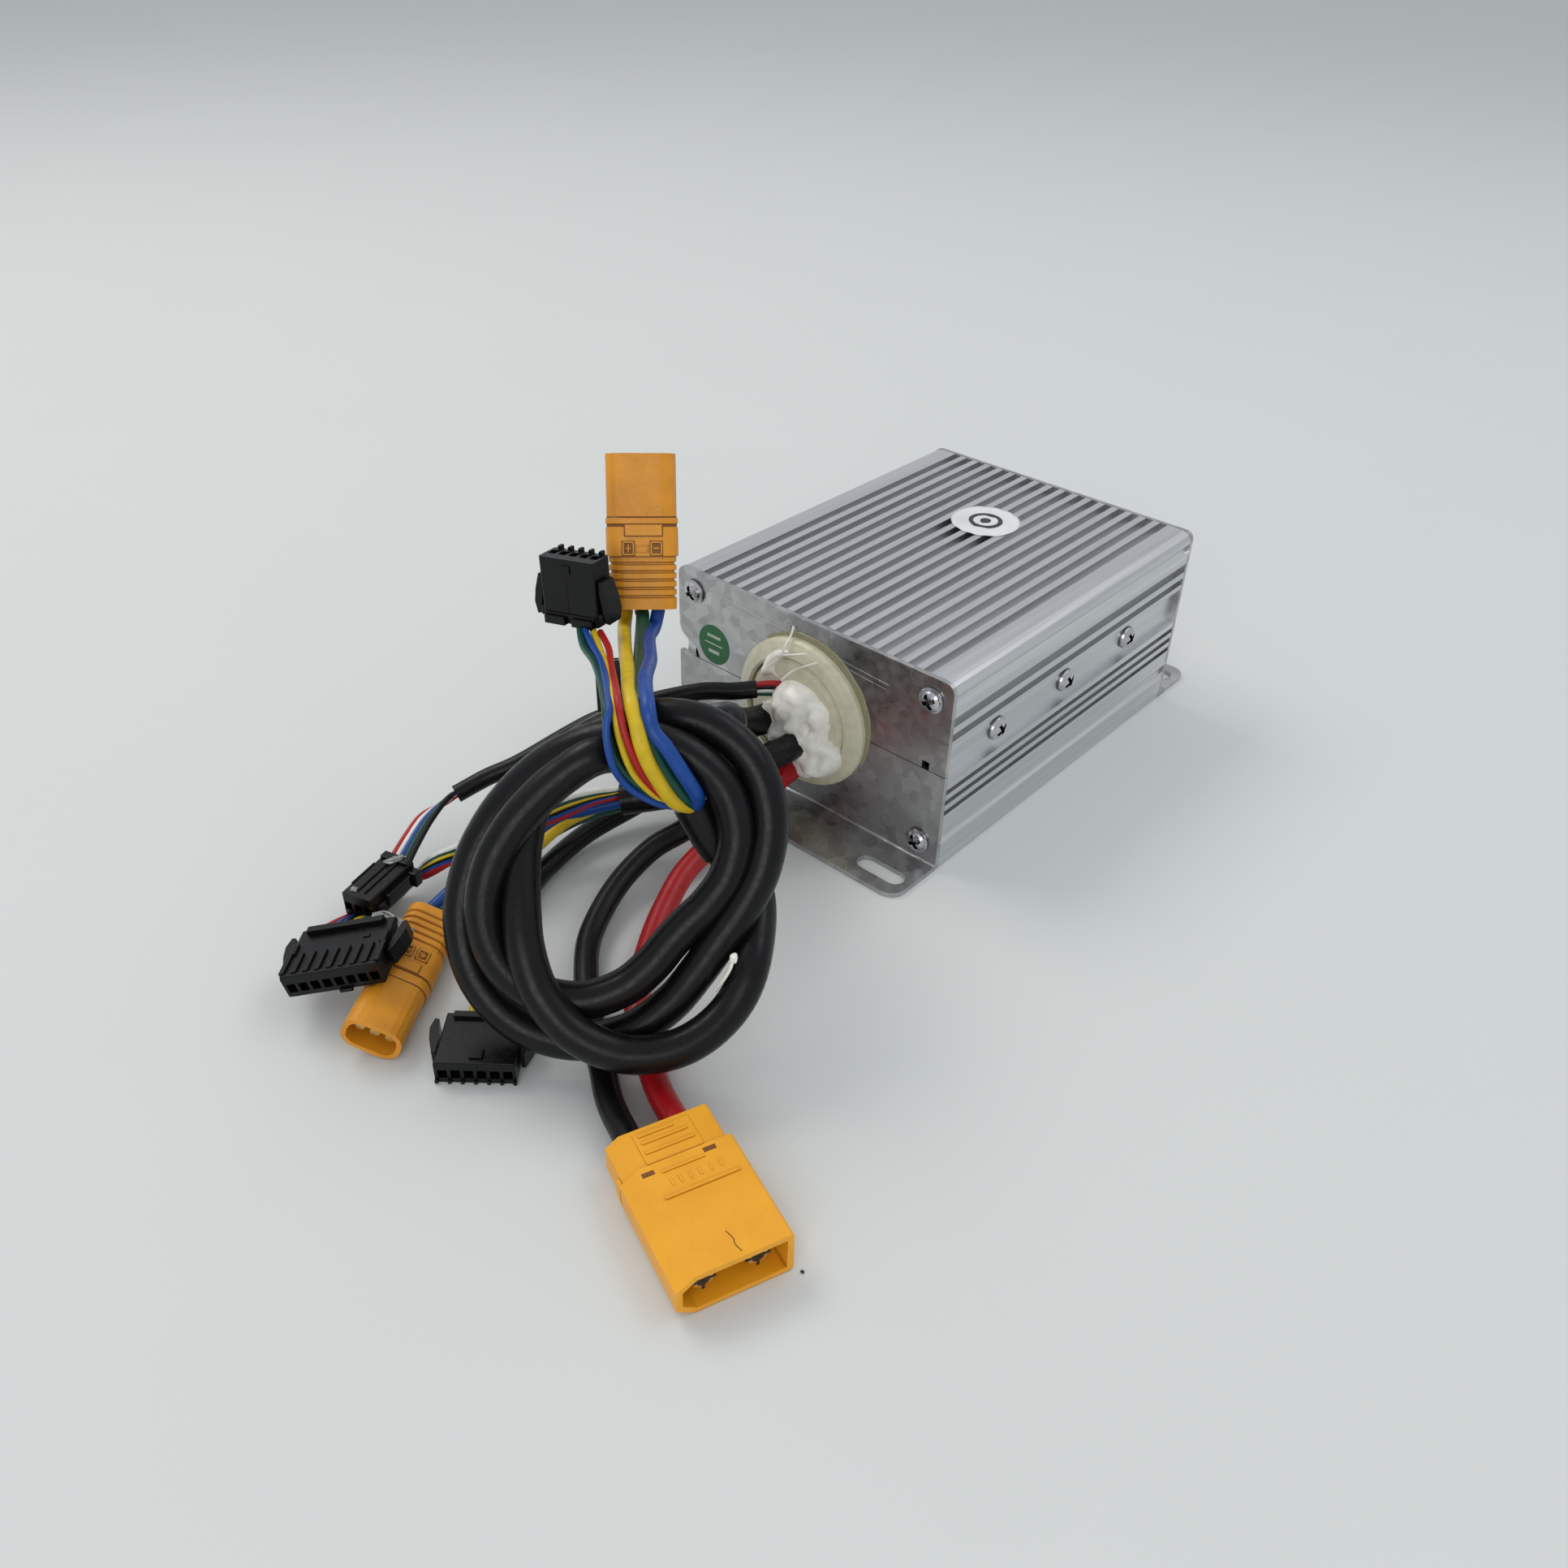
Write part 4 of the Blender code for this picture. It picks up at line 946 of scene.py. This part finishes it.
ribs = [((-6.6, (k - 4) * 2.5 - 0.55, 2.3), (-0.7, (k - 4) * 2.5 + 0.55, 3.05)) for k in range(9)]
blocks("signal_plug_c_ribs", PLUG_C, ribs, NYLON, 0.15)
blocks("signal_plug_c_ledges", PLUG_C, [
    ((-0.9, -10.2, 2.2), (0.0, 10.2, 2.75)), ((-13.9, -8.4, 2.2), (-12.2, 8.2, 3.7)),
    ((-9.5, -10.3, 2.2), (-6.4, -9.0, 3.1)),
    ((-9.5, 8.9, 2.2), (-6.4, 10.3, 3.1)), ((0.0, 0.6, -2.9), (0.7, 3.4, -2.1)),
    ((-9.6, 4.6, 2.3), (-8.8, 6.2, 2.8)),
], NYLON, 0.18)
blocks("signal_plug_e_ledges", PLUG_E, [
    ((-13.0, -6.2, 2.3), (-11.5, 6.0, 3.5)), ((-3.6, -1.2, 2.4), (-1.2, 1.4, 3.1)),
    ((-0.8, -7.7, 2.3), (0.0, 7.7, 2.72)),
], NYLON, 0.15)
blocks("signal_plug_e_feet", PLUG_E, [((-0.2, (k - 3) * 2.5 - 0.35, -2.6),
    (0.55, (k - 3) * 2.5 + 0.35, -1.8)) for k in range(7)], NYLON, 0.1)
blocks("display_plug_ridges", PLUG_D, [
    ((-13.2, -1.1, 2.9), (-1.6, -0.6, 3.5)), ((-13.2, 0.7, 2.9), (-1.6, 1.2, 3.5)),
    ((-14.5, -3.4, 2.8), (-12.5, 3.4, 3.9)),
    ((-10.6, -3.6, 2.6), (-3.0, -3.2, 3.4)),
], GLOSSY, 0.15)
blocks("display_plug_clip", PLUG_D, [
    ((-12.6, 3.3, -1.2), (-4.2, 4.9, 1.7)), ((-14.2, 3.3, -1.6), (-12.0, 5.9, 2.1)),
    ((-5.4, 3.2, -2.2), (-1.6, 4.3, 0.6)),
], GLOSSY, 0.3)

# clear glue that holds two plugs together, a scrap of sealant on the coil and a speck on the surface


def lump(name, centre, radii, mat, rough, seed, tilt=0.0):
    bm = bmesh.new()
    bmesh.ops.create_icosphere(bm, subdivisions=3, radius=1.0)
    turn = Matrix.Rotation(tilt, 3, "Z")
    for vert in bm.verts:
        push = 1 + rough * noise.noise(vert.co * 1.7 + Vector((seed, 0, 0)))
        vert.co = (Vector(centre) + turn @ Vector((vert.co.x * radii[0], vert.co.y * radii[1],
            vert.co.z * radii[2])) * push) * MM
    return add_mesh(name, bm, mat)


lump("clear_glue_1", (-19.0, -156.6, 13.4), (3.0, 1.6, 1.1), CLEAR, 0.7, 2.0, 0.6)
lump("clear_glue_2", (-16.4, -157.6, 13.0), (1.6, 2.0, 1.3), CLEAR, 0.8, 5.0)
lump("clear_glue_3", (-24.0, -156.4, 12.2), (2.6, 1.2, 1.0), CLEAR, 0.8, 9.0, 0.3)
thread("clear_glue_string_1", [(-26.5, -157.2, 12.8), (-23.0, -156.0, 14.6), (-18.5, -156.4, 15.0),
    (-15.4, -158.2, 13.6)], 0.16, CLEAR)
thread("clear_glue_string_2", [(-25.0, -155.4, 11.6), (-21.0, -155.0, 13.6), (-17.0, -156.0, 14.4),
    (-14.6, -160.2, 13.0)], 0.13, CLEAR)
lump("glue_bead_d_1", tuple(PLUG_D @ Vector((-12.9, 0.4, 3.9))), (0.9, 2.4, 0.5), CLEAR, 0.5, 12.0, -0.3)
lump("glue_bead_d_2", tuple(PLUG_D @ Vector((-1.6, -1.8, 3.2))), (0.9, 0.7, 0.5), CLEAR, 0.5, 15.0)
thread("sealant_scrap_tail", [tuple(on_coil(*p)) for p in ((17.6, -19.6, 2.5), (19.0, -17.4, 4.5),
    (20.2, -15.2, 5.5), (20.8, -13.4, 6))], 0.32, SILICONE, 4)
lump("sealant_scrap", tuple(on_coil(20.9, -12.8, 6.0)), (0.8, 0.8, 1.1), SILICONE, 0.3, 3.0)
lump("sealant_lobe_upper", (-4.6, -58.6, 24.4), (4.4, 2.4, 4.4), SILICONE, 0.35, 21.0)
lump("sealant_lobe_middle", (5.6, -59.0, 23.0), (4.4, 2.8, 4.6), SILICONE, 0.35, 23.0)
lump("sealant_lobe_lower", (4.4, -58.2, 14.8), (3.8, 2.0, 3.0), SILICONE, 0.35, 27.0)
lump("surface_speck", (88.4, -154.1, 0.15), (0.35, 0.3, 0.2), INK, 0.3, 4.0)

# ---------------------------------------------------------------- the surface it lies on

floor_look = Look("pale_surface", (0.66, 0.675, 0.66), 0.6, specular=0.2)
floor_look.paint(floor_look.mix(floor_look.noise(14, 4), (0.655, 0.675, 0.66), (0.675, 0.695, 0.68)))
bm = bmesh.new()
box_on(bm, Matrix.Translation((0, 0, 0)), (-3000, -3000, -8), (3000, 3000, 0))
floor = add_mesh("surface", bm, floor_look.mat, smooth=False, body=None)
